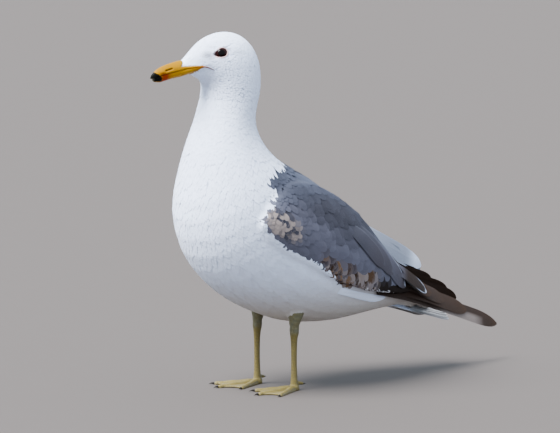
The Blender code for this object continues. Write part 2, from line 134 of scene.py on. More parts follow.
def even_out(rows, rounds):
    """Averages each row with its neighbours again and again, in place, the ends held."""
    for _ in range(rounds):
        rows[1:-1] = (rows[:-2] + 2 * rows[1:-1] + rows[2:]) / 4


def colours(group, *names):
    """Colours of one of the scene's property groups, in the order they are asked for."""
    look = getattr(bpy.context.scene, group)
    return [np.array(getattr(look, name)) for name in names]


def size_of(name):
    """One of the scene's chosen sizes, in millimetres."""
    return getattr(bpy.context.scene.gull_sizes, name) / MM


class Head:
    """The head's own axes: ahead, to its left, up, from the middle of the skull."""

    eyes = {side: to_work(box_middle("eye_" + side)) for side, _ in SIDES}
    leftward = unit(eyes["left"] - eyes["right"])
    ahead = np.cross(leftward, UP)
    skull = (eyes["left"] + eyes["right"]) / 2 - ahead * EYE_AHEAD - UP * EYE_UP

    @classmethod
    def measures(cls, points):
        away = points - cls.skull
        return away @ cls.ahead, away @ cls.leftward, away @ UP

    @classmethod
    def point(cls, ahead, left, up):
        return cls.skull + cls.ahead * ahead + cls.leftward * left + UP * up


# ---- Surfaces --------------------------------------------------------------------------


def mesh_arrays(mesh):
    """A mesh's points in the work frame and its triangles."""
    points = np.empty(len(mesh.vertices) * 3)
    mesh.vertices.foreach_get("co", points)
    mesh.calc_loop_triangles()
    faces = np.empty(len(mesh.loop_triangles) * 3, np.int32)
    mesh.loop_triangles.foreach_get("vertices", faces)
    return to_work(points.reshape(-1, 3)), faces.reshape(-1, 3)


def largest_part(points, faces):
    """The biggest connected part of a triangle mesh."""
    label = np.arange(len(points))
    while True:
        lower = label.copy()
        np.minimum.at(lower, faces.ravel(), np.repeat(label[faces].min(axis=1), 3))
        lower = lower[lower]
        if (lower == label).all():
            break
        label = lower
    names, counts = np.unique(label, return_counts=True)
    kept = label == names[counts.argmax()]
    place = np.cumsum(kept) - 1
    return points[kept], place[faces[kept[faces[:, 0]]]]


WELD = 1e-6  # points of the solids closer than this are one, in the frame's metres
SWELL = 1.03  # how much the swollen solids are grown


def moulded(nodes, voxel, rounds, swollen=()):
    """One closed smooth surface over the named solids; swollen ones are grown a little first."""
    joined = bmesh.new()
    for name in (*nodes, *swollen):
        first = len(joined.verts)
        joined.from_mesh(NODES[name].data)
        joined.verts.ensure_lookup_table()
        if name in swollen:
            middle = Vector(box_middle(name))
            for vertex in joined.verts[first:]:
                vertex.co = middle + (vertex.co - middle) * SWELL
    bmesh.ops.remove_doubles(joined, verts=joined.verts, dist=WELD)
    mesh = bpy.data.meshes.new("moulding")
    joined.to_mesh(mesh)
    joined.free()
    holder = bpy.data.objects.new("moulding", mesh)
    bpy.context.scene.collection.objects.link(holder)
    remesh = holder.modifiers.new("Remesh", "REMESH")
    remesh.mode = "VOXEL"
    remesh.voxel_size = voxel * MM
    smooth = holder.modifiers.new("Smooth", "SMOOTH")
    smooth.factor = 0.5
    smooth.iterations = rounds
    graph = bpy.context.evaluated_depsgraph_get()
    result = bpy.data.meshes.new_from_object(holder.evaluated_get(graph))
    points, faces = mesh_arrays(result)
    bpy.data.objects.remove(holder)
    bpy.data.meshes.remove(mesh)
    bpy.data.meshes.remove(result)
    return largest_part(points, faces)


class Surface:
    """A triangle mesh that can be walked on and whose point values can be averaged."""

    def __init__(self, points, faces):
        self.points = points
        self.faces = faces
        corners = points[faces]
        crossed = np.cross(corners[:, 1] - corners[:, 0], corners[:, 2] - corners[:, 0])
        self.areas = np.linalg.norm(crossed, axis=1) / 2
        normals = np.zeros_like(points)
        for corner in range(3):
            np.add.at(normals, faces[:, corner], crossed)
        self.normals = unit(normals)
        self.tree = BVHTree.FromPolygons(points.tolist(), faces.tolist())

    def spread(self, values, rounds):
        """Averages the value at each point with its neighbours' again and again."""
        start = self.faces[:, (0, 1, 2)].ravel()
        end = self.faces[:, (1, 2, 0)].ravel()
        count = np.bincount(start, minlength=len(self.points))
        for _ in range(rounds):
            total = [np.bincount(start, column[end], len(count)) for column in values.T]
            values = (values + np.stack(total, axis=1) / count[:, None]) / 2
        return values

    def settle(self, points):
        """The nearest places on the surface and a blend that reads point values there."""
        found = [self.tree.find_nearest(point) for point in points.tolist()]
        place = np.array([hit[0][:] for hit in found])
        corners = self.faces[[hit[2] for hit in found]]
        a, b, c = (self.points[corners[:, k]] for k in range(3))
        normal = np.cross(b - a, c - a)
        area = np.maximum((normal * normal).sum(1), 1e-12)
        second = (np.cross(place - a, c - a) * normal).sum(1) / area
        third = (np.cross(b - a, place - a) * normal).sum(1) / area
        weights = np.stack((1 - second - third, second, third), axis=1)
        return place, (corners, weights)

    def read(self, values, blend):
        corners, weights = blend
        return (values[corners] * weights[:, :, None]).sum(1)

    def distance(self, points):
        return np.array([self.tree.find_nearest(point)[3] for point in points.tolist()])


def as_one(parts):
    """Several (points, faces) pairs as one pair."""
    starts = np.cumsum([0] + [len(points) for points, _ in parts[:-1]])
    points = np.concatenate([points for points, _ in parts])
    faces = np.concatenate([faces + start for (_, faces), start in zip(parts, starts)])
    return points, faces


@functools.lru_cache
def node_surface(*names):
    """The named solids as one surface, for measuring distances."""
    return Surface(*as_one([mesh_arrays(NODES[name].data) for name in names]))


FLESH = ("head", "neck", "trunk", "wing_left", "wing_right")
BILLS = ("bill_upper", "bill_lower")
TRAILING = ("tail", "tibia_left", "tibia_right")
BODY_VOXEL = 1.5
BODY_SMOOTHING = 14


@functools.lru_cache
def outline(more=()):
    """The outside of the flesh, the bill and any more solids: where the coat's tips lie."""
    swollen = ("eye_left", "eye_right")
    return Surface(*moulded((*FLESH, *BILLS, *more), BODY_VOXEL, BODY_SMOOTHING, swollen))


# ---- Lie of the coat -------------------------------------------------------------------

# The line the coat follows, from the bill's base over the neck to the tail: (y, z).
SPINE = (
    (-104, 316), (-86, 324), (-64, 322), (-52, 308), (-53, 290), (-56, 268), (-62, 248),
    (-64, 222), (-57, 194), (-38, 168), (-8, 148), (28, 130), (60, 115), (90, 102),
    (120, 91), (150, 81), (185, 67), (215, 57),
)
SPINE_SAMPLES = 140
SPINE_ROUNDS = 6
SPINE_BLEND = 26.0
BILL_ROOT = (68.0, 0.0, -6.0)
# Where feathers point away from the bill, by how far ahead and how high on the head.
FACE_AHEAD, FACE_UP = (-22.0, 14.0), (-42.0, -14.0)
# Which way feathers fall on the wing's side, how far out that sets in, and its share.
WING_FALL = unit(np.array((0.0, 0.70, -0.71)))
FALL_SIDE, FALL_SOFTNESS, FALL_SHARE = (16.0, 42.0), 14.0, 0.75
UNWRAP_MARGIN = 0.01


@functools.lru_cache
def spine_line():
    """Points, directions and lengths along the spine, evenly spaced."""
    corners = np.array(SPINE, float)
    steps = np.linalg.norm(np.diff(corners, axis=0), axis=1)
    lengths = np.concatenate(([0.0], np.cumsum(steps)))
    along = np.linspace(0.0, lengths[-1], SPINE_SAMPLES)
    line = np.stack([np.interp(along, lengths, corners[:, k]) for k in (0, 1)], axis=1)
    even_out(line, SPINE_ROUNDS)
    points = np.stack((np.zeros(len(line)), line[:, 0], line[:, 1]), axis=1)
    return points, unit(np.gradient(points, axis=0)), along


def spine_blend(points):
    """How much each spine sample counts at each point."""
    samples = spine_line()[0]
    away = ((points[:, None, 1:] - samples[None, :, 1:]) ** 2).sum(2)
    weights = np.exp(-(away - away.min(1, keepdims=True)) / SPINE_BLEND**2)
    return weights / weights.sum(1, keepdims=True)


def lie_of_coat(points, normals):
    """The way the feathers point: away from the bill, along the spine, down the wings."""
    along_spine = spine_blend(points) @ spine_line()[1]
    from_bill = unit(points - Head.point(*BILL_ROOT))
    ahead, _, up = Head.measures(points)
    face = smooth_step(ahead, *FACE_AHEAD) * smooth_step(up, *FACE_UP)
    heading = mix(along_spine, from_bill, face)
    side = smooth_step(np.abs(points[:, 0]), *FALL_SIDE) * grey_cover(points, FALL_SOFTNESS)
    side = side[:, None]
    heading = heading * (1 - FALL_SHARE * side) + WING_FALL * FALL_SHARE * side
    return flatten(heading, normals)


def unwrap(points):
    """Places on the skin opened along the belly: round the spine, and along it."""
    line, direction, along = spine_line()
    weights = spine_blend(points)
    centre = weights @ line
    forward = unit(weights @ direction)
    upward = flatten(np.cross(forward, np.array((-1.0, 0.0, 0.0))), forward)
    away = points - centre
    angle = np.arctan2(away[:, 0], (away * upward).sum(1))
    place = np.stack((angle / (2 * math.pi) + 0.5, weights @ along / along[-1]), axis=1)
    return UNWRAP_MARGIN + place * (1 - 2 * UNWRAP_MARGIN)


# ---- The bill's bare outline -----------------------------------------------------------

# Seen from the side, as (ahead, up): from under the bill round the mouth's corner, along
# the feathers' edge to the ridge, then round in front of the bill.
BARE = (
    (46.0, -40.0), (46.0, -14.0), (47.4, -11.3), (42.8, -7.8), (41.2, -5.4), (38.7, -4.6),
    (39.9, -3.2), (60.2, -3.4), (55.7, 1.9), (55.7, 30.0), (130.0, 30.1), (130.0, -40.1),
)
# The mouth's line behind the bill, as (ahead, up).
RICTUS = ((42.0, -3.9), (38.4, -3.9), (34.8, -4.9), (32.2, -6.3), (29.6, -7.8))


def line_distance(place, starts, ends):
    """How far each place is from each stretch of a line in the plane."""
    run = ends - starts
    away = place[:, None] - starts[None]
    share = np.clip((away * run).sum(2) / (run * run).sum(1), 0.0, 1.0)
    return np.linalg.norm(away - share[..., None] * run, axis=2)


def bare_depth(points):
    """How far inside the bill's bare outline each point lies; below 0 among feathers."""
    ahead, _, up = Head.measures(points)
    starts = np.array(BARE)
    ends = np.roll(starts, -1, axis=0)
    far = line_distance(np.stack((ahead, up), axis=1), starts, ends).min(1)
    rise = ends[:, 1] - starts[:, 1]
    meets = starts[:, 0] + (up[:, None] - starts[:, 1]) * (ends - starts)[:, 0] / rise
    crosses = (starts[:, 1] > up[:, None]) != (ends[:, 1] > up[:, None])
    inside = (crosses & (ahead[:, None] < meets)).sum(1) % 2 == 1
    return np.where(inside, far, -far)


def rictus_distance(points):
    ahead, _, up = Head.measures(points)
    line = np.array(RICTUS)
    return line_distance(np.stack((ahead, up), axis=1), line[:-1], line[1:]).min(1)


# ---- Markings --------------------------------------------------------------------------

# The front edge of the grey, height to y, and its lower edge, y to height.
GREY_FRONT = ((168, -63), (173.5, -62), (179.6, -56), (184, -48), (190.7, -44.5),
              (193.3, -42), (197.5, -39), (201.6, -45), (205.7, -50), (212.5, -34),
              (216, -15), (219, 2), (240, 9))
GREY_LOW = ((-61, 171), (-53.5, 159.5), (-36.5, 144.7), (-18.7, 136.5), (-3.8, 129.3),
            (13, 119), (27, 109), (39, 100), (80, 92), (130, 82), (170, 76))
RUMP_FROM = 118.0
RUMP_HALF_WIDTH = 17.0
RUMP_TOP = ((118, 137), (135, 119.5), (149, 106.5), (162, 96.5), (215, 70))
# Painted light and shade on the wing: how much lighter or darker its colour is made, by height
# above its lower edge.
WING_PAINTED_LIGHT = ((12.0, 2.0), (32.0, 2.2), (42.0, 1.4), (54.0, 0.85), (64.0, 0.7), (76.0, 0.85),
              (90.0, 0.95))
WING_SIDE, LIT_BACK_HEIGHT = (26.0, 50.0), (172.0, 206.0)  # painted light: where the slate wing turns lighter grey, high on the back and less on the side, as lit from above
SIDE_LIGHT_LOSS, BACK_LIGHT_GAIN = 0.25, 0.35  # how much less painted light the side gets, and how much more the back
# Feathers between the wings' ends, painted pale as lit by the sky and against the near wing's
# shadow: their start, the end on the left, how far out they reach, and where the right ones
# reach further.
INNER_STARTS, INNER_LEFT_ENDS = (112.0, 138.0), (136.0, 146.0)
INNER_REACH, INNER_RIGHT_MORE, INNER_WIDENS = 20.0, 10.0, (160.0, 180.0)
INNER_EDGE, INNER_LIGHT_SHARE = 5.0, 0.8
FAR_WING_PAINTED_LIGHT = 0.26  # painted light: how light they are beside the breast
# Painted shadow under the tertials, a dark strip: its start, its height, and where that grows.
SHADOW_STARTS, SHADOW_GROWS = (84.0, 94.0), (125.0, 150.0)
SHADOW_HEIGHT, SHADOW_REAR_MORE, SHADOW_EDGE, SHADOW_DARK = 9.0, 14.0, 2.0, 0.5
# The band of worn coverts: its start and end, how far out it lies and how high it is.
BAND_STARTS, BAND_ENDS = (4.0, 22.0), (82.0, 98.0)
BAND_SIDE, BAND_TOP = (24.0, 34.0), (12.5, 20.5)
FROST, FROST_FROM = 0.35, (40.0, 75.0)  # pale feathers are more towards its rear
MOTTLE_MIDDLE, MOTTLE_SIZE, MOTTLE_EDGE = (-37.0, 165.0), (22.0, 11.0), (0.75, 1.25)
MOTTLE_SLOPE = math.radians(-35)
RIM_LIFT, RIM_LEAST = 1.35, 0.006  # how much lighter a rim is than its feather
RIM_STRENGTH, RIM_WORN_MORE = 0.14, 0.25
WHITE_RIM_LIFT = 1.04
DUSKY = (0.10, 0.10, 0.12)  # the marks of the face
# Before, behind and above the eye: middle (ahead, up), half size, slope, strength, edge.
FACE_MARKS = (
    ((34.5, 7.0), (5.5, 4.0), 0.0, 0.66, (0.1, 1.4)),
    ((6.0, 8.5), (9.0, 2.4), 0.0, 0.30, (0.2, 1.4)),
    ((30.0, 14.5), (4.0, 1.2), 0.4, 0.22, (0.2, 1.3)),
)
UNDERSIDE_SHADE = (0.36, 0.48, 0.62)  # painted shade, warm as bounced off the floor: what the lowest feathers lose of red, green and blue
UNDERSIDE_SHADE_HEIGHT = (62.0, 122.0)


def above_low_edge(points):
    """How far each point lies above the lower edge of the grey."""
    return points[:, 2] - curve(points[:, 1], GREY_LOW)


def grey_edge(points):
    """How far inside the grey of the back and wings each point is, in mm."""
    y, z = points[:, 1], points[:, 2]
    inside = np.minimum(y - curve(z, GREY_FRONT), above_low_edge(points))
    rump = np.maximum(RUMP_FROM - y, np.abs(points[:, 0]) - RUMP_HALF_WIDTH)
    return np.minimum(inside, np.maximum(rump, z - curve(y, RUMP_TOP)))


def grey_cover(points, softness=1.0):
    return smooth_step(grey_edge(points), -softness, softness)


def painted_shadow_under_tertials(points):
    """Painted shadow: a dark strip on the wing's rear, below the tertials and above the vent,
    where they shade it.
    """
    high = SHADOW_HEIGHT + SHADOW_REAR_MORE * smooth_step(points[:, 1], *SHADOW_GROWS)
    under = smooth_step(high - above_low_edge(points), -SHADOW_EDGE, SHADOW_EDGE)
    return smooth_step(points[:, 1], *SHADOW_STARTS) * under


def brown_band(points):
    """The worn brown coverts along the wing's lower edge."""
    ends = smooth_step(points[:, 1], *BAND_STARTS) * fade(points[:, 1], *BAND_ENDS)
    side = smooth_step(np.abs(points[:, 0]), *BAND_SIDE)
    return ends * side * fade(above_low_edge(points), *BAND_TOP)


def mottle(points):
    """The pale brown patch of lesser coverts near the wing's bend."""
    y, z = points[:, 1] - MOTTLE_MIDDLE[0], points[:, 2] - MOTTLE_MIDDLE[1]
    long = y * math.cos(MOTTLE_SLOPE) + z * math.sin(MOTTLE_SLOPE)
    short = z * math.cos(MOTTLE_SLOPE) - y * math.sin(MOTTLE_SLOPE)
    far = np.hypot(long / MOTTLE_SIZE[0], short / MOTTLE_SIZE[1])
    return fade(far, *MOTTLE_EDGE)


def lit_between_wings(points):
    """Painted light: the feathers between the wings' ends, made pale for the sky light and
    against the near wing's shadow.
    """
    x, y = points[:, 0], points[:, 1]
    reach = INNER_REACH + INNER_RIGHT_MORE * smooth_step(y, *INNER_WIDENS) * (x < 0)
    inner = smooth_step(y, *INNER_STARTS) * smooth_step(reach - np.abs(x), -INNER_EDGE, 0.0)
    return inner * (1 - smooth_step(y, *INNER_LEFT_ENDS) * (x > 0))


def face_marks(points):
    """How strongly the face's dusky marks show."""
    ahead, _, up = Head.measures(points)
    shown = 0.0
    for (front, high), (length, height), slope, strength, edge in FACE_MARKS:
        along = ahead - front
        far = np.hypot(along / length, (up - high - slope * along) / height)
        shown = shown + strength * fade(far, *edge)
    return shown


def wing_coat(points, luck, greys):
    """Colour, rim and the rim's strength for the back and wings, with painted light and shade;
    only greys look worn.
    """
    white, grey, slate, tan, brown, pale, black = colours(
        "gull_plumage", "white", "grey", "slate", "tan", "brown", "pale", "black"
    )
    side = smooth_step(np.abs(points[:, 0]), *WING_SIDE)
    # painted light: the slate is made a lighter, bluer grey up on the back, as lit by the sky
    # from above
    light = smooth_step(points[:, 2], *LIT_BACK_HEIGHT) * (1.0 - SIDE_LIGHT_LOSS * side)
    wing = mix(slate, grey, np.clip(light + BACK_LIGHT_GAIN * (1 - side), 0, 1))
    # painted light and shade: the wing's colour is scaled by height above its lower edge
    wing = wing * curve(above_low_edge(points), WING_PAINTED_LIGHT)[:, None]
    # painted light: the feathers between the wings' ends are made pale
    inner = lit_between_wings(points)
    wing = mix(wing, white * FAR_WING_PAINTED_LIGHT, inner * INNER_LIGHT_SHARE)
    # painted shadow: the strip below the tertials is darkened towards black
    wing = mix(wing, black * SHADOW_DARK, painted_shadow_under_tertials(points) * (1 - inner))
    wing = wing * (0.9 + 0.2 * luck[:, :1])
    rim = wing * RIM_LIFT + RIM_LEAST
    band = brown_band(points) * greys
    frost = FROST * smooth_step(points[:, 1], *FROST_FROM)
    worn = mix(brown, tan, smooth_step(luck[:, 1], 0.3, 0.6))
    worn = mix(worn, pale * 0.9, smooth_step(luck[:, 1] + frost, 0.8, 0.95))
    wing = mix(wing, worn, np.clip(band * (0.5 + 0.9 * luck[:, 2]), 0, 1))
    patch = mottle(points) * greys
    flecked = mix(slate, pale * 1.15, smooth_step(luck[:, 1], 0.2, 0.8))
    wing = mix(wing, flecked, np.clip(patch * 1.3, 0, 1))
    rim = mix(rim, pale, np.clip(0.5 * band + 0.6 * patch, 0, 1))
    return wing, rim, RIM_STRENGTH + RIM_WORN_MORE * np.clip(band + patch, 0, 1)


def white_coat(points, luck):
    """Colour of the white feathers, dusky in the face's marks and with painted shade low on the
    underside.
    """
    (white,) = colours("gull_plumage", "white")
    # painted light: the white carries the sky's blue
    sky_tinted = white * (0.98 + 0.03 * luck[:, :1])
    sky_tinted = mix(sky_tinted, np.array(DUSKY), face_marks(points))
    # painted shade: the underside is darker and warmer towards the bottom
    underside_shade = 1 - smooth_step(points[:, 2], *UNDERSIDE_SHADE_HEIGHT)
    return sky_tinted * (1 - underside_shade[:, None] * np.array(UNDERSIDE_SHADE))


def plumage(points, rng, cover=None):
    """The colour of the feather at each point, and of its rim with the rim's strength.

    cover is 1 for feathers of the grey coat, 0 for white ones, else it goes by the place.
    """
    count = len(points)
    luck = rng.random((count, 3)) if rng else np.full((count, 3), 0.5)
    cover = grey_cover(points) if cover is None else np.full(count, cover)
    wing, wing_rim, strength = wing_coat(points, luck, cover > 0.5)
    sky_tinted = white_coat(points, luck)
    rim = mix(np.minimum(sky_tinted * WHITE_RIM_LIFT, 1.0), wing_rim, cover)
    return mix(sky_tinted, wing, cover), np.concatenate((rim, (cover * strength)[:, None]), axis=1)


# ---- Vanes -----------------------------------------------------------------------------

PATCH_SIZE = 0.003  # how large each feather's patch is on the bake map


def lens_faces(rows, columns):
    """The faces of one closed vane: an upper grid, and an under one that meets its border."""
    upper = np.arange(rows * columns).reshape(rows, columns)
    faces = []
    for grid, order in ((upper, (0, 1, 2, 3)), (upper + rows * columns, (3, 2, 1, 0))):
        corners = (grid[:-1, :-1], grid[1:, :-1], grid[1:, 1:], grid[:-1, 1:])
        faces.append(np.stack([corners[k].ravel() for k in order], axis=1))
    return np.concatenate(faces)


class Vanes:
    """Many closed thin feathers, collected as arrays for one mesh."""

    def __init__(self):
        self.points, self.faces, self.values = [], [], {}

    def add(self, centres, normals, halves, shares, columns, thick, cup, soft, bed=None,
            **values):
        """Rows of centres and normals become lens-shaped vanes.

        soft is how far the shading takes the body's normals instead of the vane's own.
        bed is a surface and the rows' places on it, when the vanes bend across to hug it.
        values are per vane (count, n) or per row and column (count, rows, columns, n).
        """
        count, rows = centres.shape[:2]
        grid = (count, rows, columns)
        ahead = unit(np.gradient(centres, axis=1))
        side = unit(np.cross(normals, ahead))
        rise = np.cross(ahead, side)
        across = np.linspace(-1.0, 1.0, columns)
        wide = halves[:, :, None] * across
        sag = np.reshape(cup, (-1, 1, 1)) * wide**2
        spread = side[:, :, None] * wide[..., None]
        upper = centres[:, :, None] + spread - rise[:, :, None] * sag[..., None]
        beds = np.broadcast_to(normals[:, :, None], upper.shape)
        if bed:
            bend, beds = self.drape(bed[0], bed[1][:, :, None] + spread)
            upper = upper + bend
        body = np.reshape(thick, (-1, 1, 1)) * (1 - across[None, None] ** 2)
        body = body * np.concatenate(([0.0], np.ones(rows - 2), [0.0]))[None, :, None]
        under = upper - rise[:, :, None] * body[..., None]
        facing = np.cross(np.gradient(upper, axis=1), np.gradient(upper, axis=2))
        facing = unit(facing + rise[:, :, None] * 1e-6)
        facing = unit(facing * (1 - soft) + beds * soft)
        values["shading"] = facing
        values["across"] = np.broadcast_to(across, grid)[..., None]
        values["along"] = np.broadcast_to(np.asarray(shares)[None, :, None], grid)[..., None]
        start = sum(len(part) for part in self.points)
        each = 2 * rows * columns
        self.points.append(np.stack((upper, under), axis=1).reshape(-1, 3))
        offsets = start + each * np.arange(count)[:, None, None]
        self.faces.append((lens_faces(rows, columns)[None] + offsets).reshape(-1, 4))
        for name, value in values.items():
            if value.ndim == 2:
                value = np.broadcast_to(value[:, None, None], (*grid, value.shape[1]))
            flip = -1.0 if name == "shading" else 1.0
            both = np.stack((value, value * flip), axis=1).reshape(-1, value.shape[3])
            self.values.setdefault(name, []).append(both)

    def drape(self, surface, flat):
        """How far each place must move to lie on the surface, and the normals there."""
        found, blend = surface.settle(flat.reshape(-1, 3))
        normals = unit(surface.read(surface.normals, blend)).reshape(flat.shape)
        return found.reshape(flat.shape) - flat, normals

    def piece(self, name, material, slot, replaced=()):
        values = {key: np.concatenate(parts) for key, parts in self.values.items()}
        across, along = values["across"], values["along"]
        uv = None
        if "root" in values:
            patch = np.concatenate((across / 2, along - 0.5), axis=1)
            uv = values["root"] + patch * PATCH_SIZE
        make_piece(
            name, np.concatenate(self.points), np.concatenate(self.faces), material, slot,
            replaced, uv, values["shading"], tone=values["tone"], rim=values["rim"],
            vane=np.concatenate((across, along, values["luck"]), axis=1),
            size=values["size"],
        )


def placed(name, data):
    """A new object in the scene."""
    thing = bpy.data.objects.new(name, data)
    bpy.context.scene.collection.objects.link(thing)
    return thing


def make_piece(name, points, faces, material, slot, replaced=(), uv=None, shading=None,
               **attributes):
    """A smooth-shaded mesh that rides on the frame, with its point values and bake map."""
    mesh = bpy.data.meshes.new(name)
    mesh.vertices.add(len(points))
    mesh.vertices.foreach_set("co", to_frame(points).astype(np.float32).ravel())
    corners = faces.shape[1]
    mesh.loops.add(faces.size)
    mesh.loops.foreach_set("vertex_index", faces.astype(np.int32).ravel())
    mesh.polygons.add(len(faces))
    mesh.polygons.foreach_set("loop_start", np.arange(0, faces.size, corners, np.int32))
    mesh.update(calc_edges=True)
    mesh.polygons.foreach_set("use_smooth", np.ones(len(faces), bool))
    for key, values in attributes.items():
        kind, field = "FLOAT_VECTOR", "vector"
        if key in ("tone", "rim"):
            kind, field = "FLOAT_COLOR", "color"
            opaque = np.ones((len(values), 4 - values.shape[1]))
            values = np.concatenate((values, opaque), axis=1)
        layer = mesh.attributes.new(key, kind, "POINT")
        layer.data.foreach_set(field, values.astype(np.float32).ravel())
    if uv is not None:
        layer = mesh.uv_layers.new(name="OFBake")
        layer.data.foreach_set("uv", uv[faces.ravel()].astype(np.float32).ravel())
    if shading is not None:
        mesh.normals_split_custom_set_from_vertices(shading.tolist())
    mesh.materials.append(material)
    piece = placed(name, mesh)
    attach(piece, "root")
    if replaced:
        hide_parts(*replaced)


SPARE_PLACES = 5.0  # how many places are tried for each feather's share of the surface


def scatter(surface, weights, spacing, rng):
    """Random places on the surface's faces that keep their spacing from one another."""
    area = surface.areas * weights
    reach = spacing(surface.points[surface.faces].mean(1))
    expected = SPARE_PLACES * area / reach**2
    count = int(expected.sum())
    picked = rng.choice(len(area), count, p=expected / expected.sum())
    a, b = rng.random((2, count))
    over = a + b > 1
    a[over], b[over] = 1 - a[over], 1 - b[over]
    corners = surface.points[surface.faces[picked]]
    places = corners[:, 0] + (corners[:, 1] - corners[:, 0]) * a[:, None]
    places = places + (corners[:, 2] - corners[:, 0]) * b[:, None]
    limits = spacing(places)
    cell = float(limits.max())
    cells, kept = {}, []
    keys = np.floor(places / cell).astype(int).tolist()
    near = [(i, j, k) for i in (-1, 0, 1) for j in (-1, 0, 1) for k in (-1, 0, 1)]
    for index, (place, (i, j, k)) in enumerate(zip(places.tolist(), keys)):
        limit = float(limits[index]) ** 2
        others = (o for a, b, c in near for o in cells.get((i + a, j + b, k + c), ()))
        if all(sum((p - q) ** 2 for p, q in zip(place, o)) >= limit for o in others):
            cells.setdefault((i, j, k), []).append(place)
            kept.append(index)
    return places[kept]


LEAVES_FROM = 0.55  # a step that ends further off the surface than this share is free
SHARPEST_BEND = 0.5  # the cosine between the normals past which a step is free
FLOW_PULL = 0.35  # how far a feather turns to the lie of the coat at each step


def lay(surface, roots, lengths, shares, flow, swerve, free_from):
    """Rows of points that follow the surface; tips past free_from may leave a sharp bend."""
    place, blend = surface.settle(roots)
    normal = unit(surface.read(surface.normals, blend))
    heading = flatten(surface.read(flow, blend) + np.cross(normal, swerve), normal)
    rows, normals = [place], [normal]
    for before, after in zip(shares, shares[1:]):
        step = ((after - before) * lengths)[:, None]
        ahead = place + heading * step
        found, blend = surface.settle(ahead)
        new_normal = unit(surface.read(surface.normals, blend))
        free = np.linalg.norm(found - ahead, axis=1) > LEAVES_FROM * step[:, 0]
        free |= (new_normal * normal).sum(1) < SHARPEST_BEND
        free &= place[:, 1] > free_from
        place = np.where(free[:, None], ahead, found)
        normal = np.where(free[:, None], normal, new_normal)
        drift = surface.read(flow, blend) * np.where(free, 0.0, FLOW_PULL)[:, None]
        heading = flatten(heading + drift, normal)
        rows.append(place)
        normals.append(normal)
    return np.stack(rows, axis=1), np.stack(normals, axis=1)


# ---- Finishes --------------------------------------------------------------------------


class Term:
    """A shader value. Arithmetic on it adds Math nodes."""

    def __init__(self, finish, socket):
        self.finish = finish
        self.socket = socket

    def math(self, operation, *others):
        values = dict(enumerate((self, *others)))
        return self.finish.add("ShaderNodeMath", {"operation": operation}, values)

    def __add__(self, other):
        return self.math("ADD", other)

    def __sub__(self, other):
        return self.math("SUBTRACT", other)

    def __rsub__(self, other):
        return (self * -1.0) + other

    def __mul__(self, other):
        return self.math("MULTIPLY", other)

    __radd__ = __add__
    __rmul__ = __mul__

    def size(self):
        return self.math("ABSOLUTE")

    def sine(self):
        return self.math("SINE")

    def between(self, low, high):
        """0 below low, 1 above high and smooth between."""
        values = {"Value": self, "From Min": low, "From Max": high}
        settings = {"interpolation_type": "SMOOTHSTEP"}
        return self.finish.add("ShaderNodeMapRange", settings, values)


class Finish:
    """One material while it is being made."""

    def __init__(self, name):
        self.material = bpy.data.materials.new(name)
        self.material.use_nodes = True
        self.tree = self.material.node_tree
        self.tree.nodes.clear()

    def add(self, kind, settings=None, values=None, out=0):
        """Adds a node, sets it, fills its sockets and gives the chosen output."""
        node = self.tree.nodes.new(kind)
        for key, value in (settings or {}).items():
            setattr(node, key, value)
        for key, value in (values or {}).items():
            if isinstance(value, Term):
                self.tree.links.new(value.socket, node.inputs[key])
            else:
                node.inputs[key].default_value = value
        return Term(self, node.outputs[out] if len(node.outputs) else None)

    def attribute(self, name, out="Color"):
        return self.add("ShaderNodeAttribute", {"attribute_name": name}, out=out)

    def parts(self, vector):
        """The three numbers of a vector."""
        node = self.add("ShaderNodeSeparateXYZ", None, {"Vector": vector}).socket.node
        return [Term(self, socket) for socket in node.outputs]

    def place(self):
        """Where on the piece, in metres."""
        return self.add("ShaderNodeTexCoord", out="Object")

    def noise(self, scale, detail):
        values = {"Vector": self.place(), "Scale": scale, "Detail": detail}
        return self.add("ShaderNodeTexNoise", None, values, "Fac")

    def blend(self, first, second, share):
        """Mixes two colours."""
        settings = {"data_type": "RGBA", "clamp_factor": True}
        return self.add("ShaderNodeMix", settings, {0: share, 6: first, 7: second}, 2)

    def scaled(self, colour, factor):
        values = {0: colour, "Scale": factor}
        return self.add("ShaderNodeVectorMath", {"operation": "SCALE"}, values)

    def bump(self, height, distance):
        values = {"Height": height, "Distance": distance, "Strength": 1.0}
        return self.add("ShaderNodeBump", None, values)

    def close(self, values):
        shader = self.add("ShaderNodeBsdfPrincipled", None, values)
        self.add("ShaderNodeOutputMaterial", None, {"Surface": shader})
        return self.material


def vane_finish(name, gloss, sheen, rough_edge, rim_from=0.62):
    """Feathers: barbs slant from the shaft, and the rim takes its own colour."""
    finish = Finish(name)
    across, along, luck = finish.parts(finish.attribute("vane", "Vector"))
    length, half, _ = finish.parts(finish.attribute("size", "Vector"))
    off = across.size()
    turns = 2 * math.pi / size_of("barb_spacing")
    barbs = ((along * length - off * half * 0.8) * turns).sine()
    grain = finish.noise(900.0, 3.0)
    edge = (off + (grain - 0.5) * rough_edge).between(rim_from, 0.98)
    tip = (along + (grain - 0.5) * rough_edge * 0.5).between((1 + rim_from) / 2 + 0.04, 0.995)
    rim = edge + tip - edge * tip
    strength = finish.attribute("rim", "Alpha")
    colour = finish.blend(finish.attribute("tone"), finish.attribute("rim"), rim * strength)
    shade = 0.91 + along.between(0.0, 0.6) * 0.07 + barbs * 0.015 + (grain - 0.5) * 0.1
    colour = finish.scaled(colour, shade + (luck - 0.5) * 0.05)
    shaft = (1 - off.between(0.0, 0.14)) * (1 - along.between(0.75, 0.95))
    relief = barbs * 0.35 + shaft * 0.8 + grain * 0.5
    values = {
        "Base Color": colour,
        "Roughness": gloss,
        "Specular IOR Level": 0.06,
        "Sheen Weight": sheen,
        "Sheen Roughness": 0.6,
        "Normal": finish.bump(relief, 0.08 * MM),
    }
    return finish.close(values)


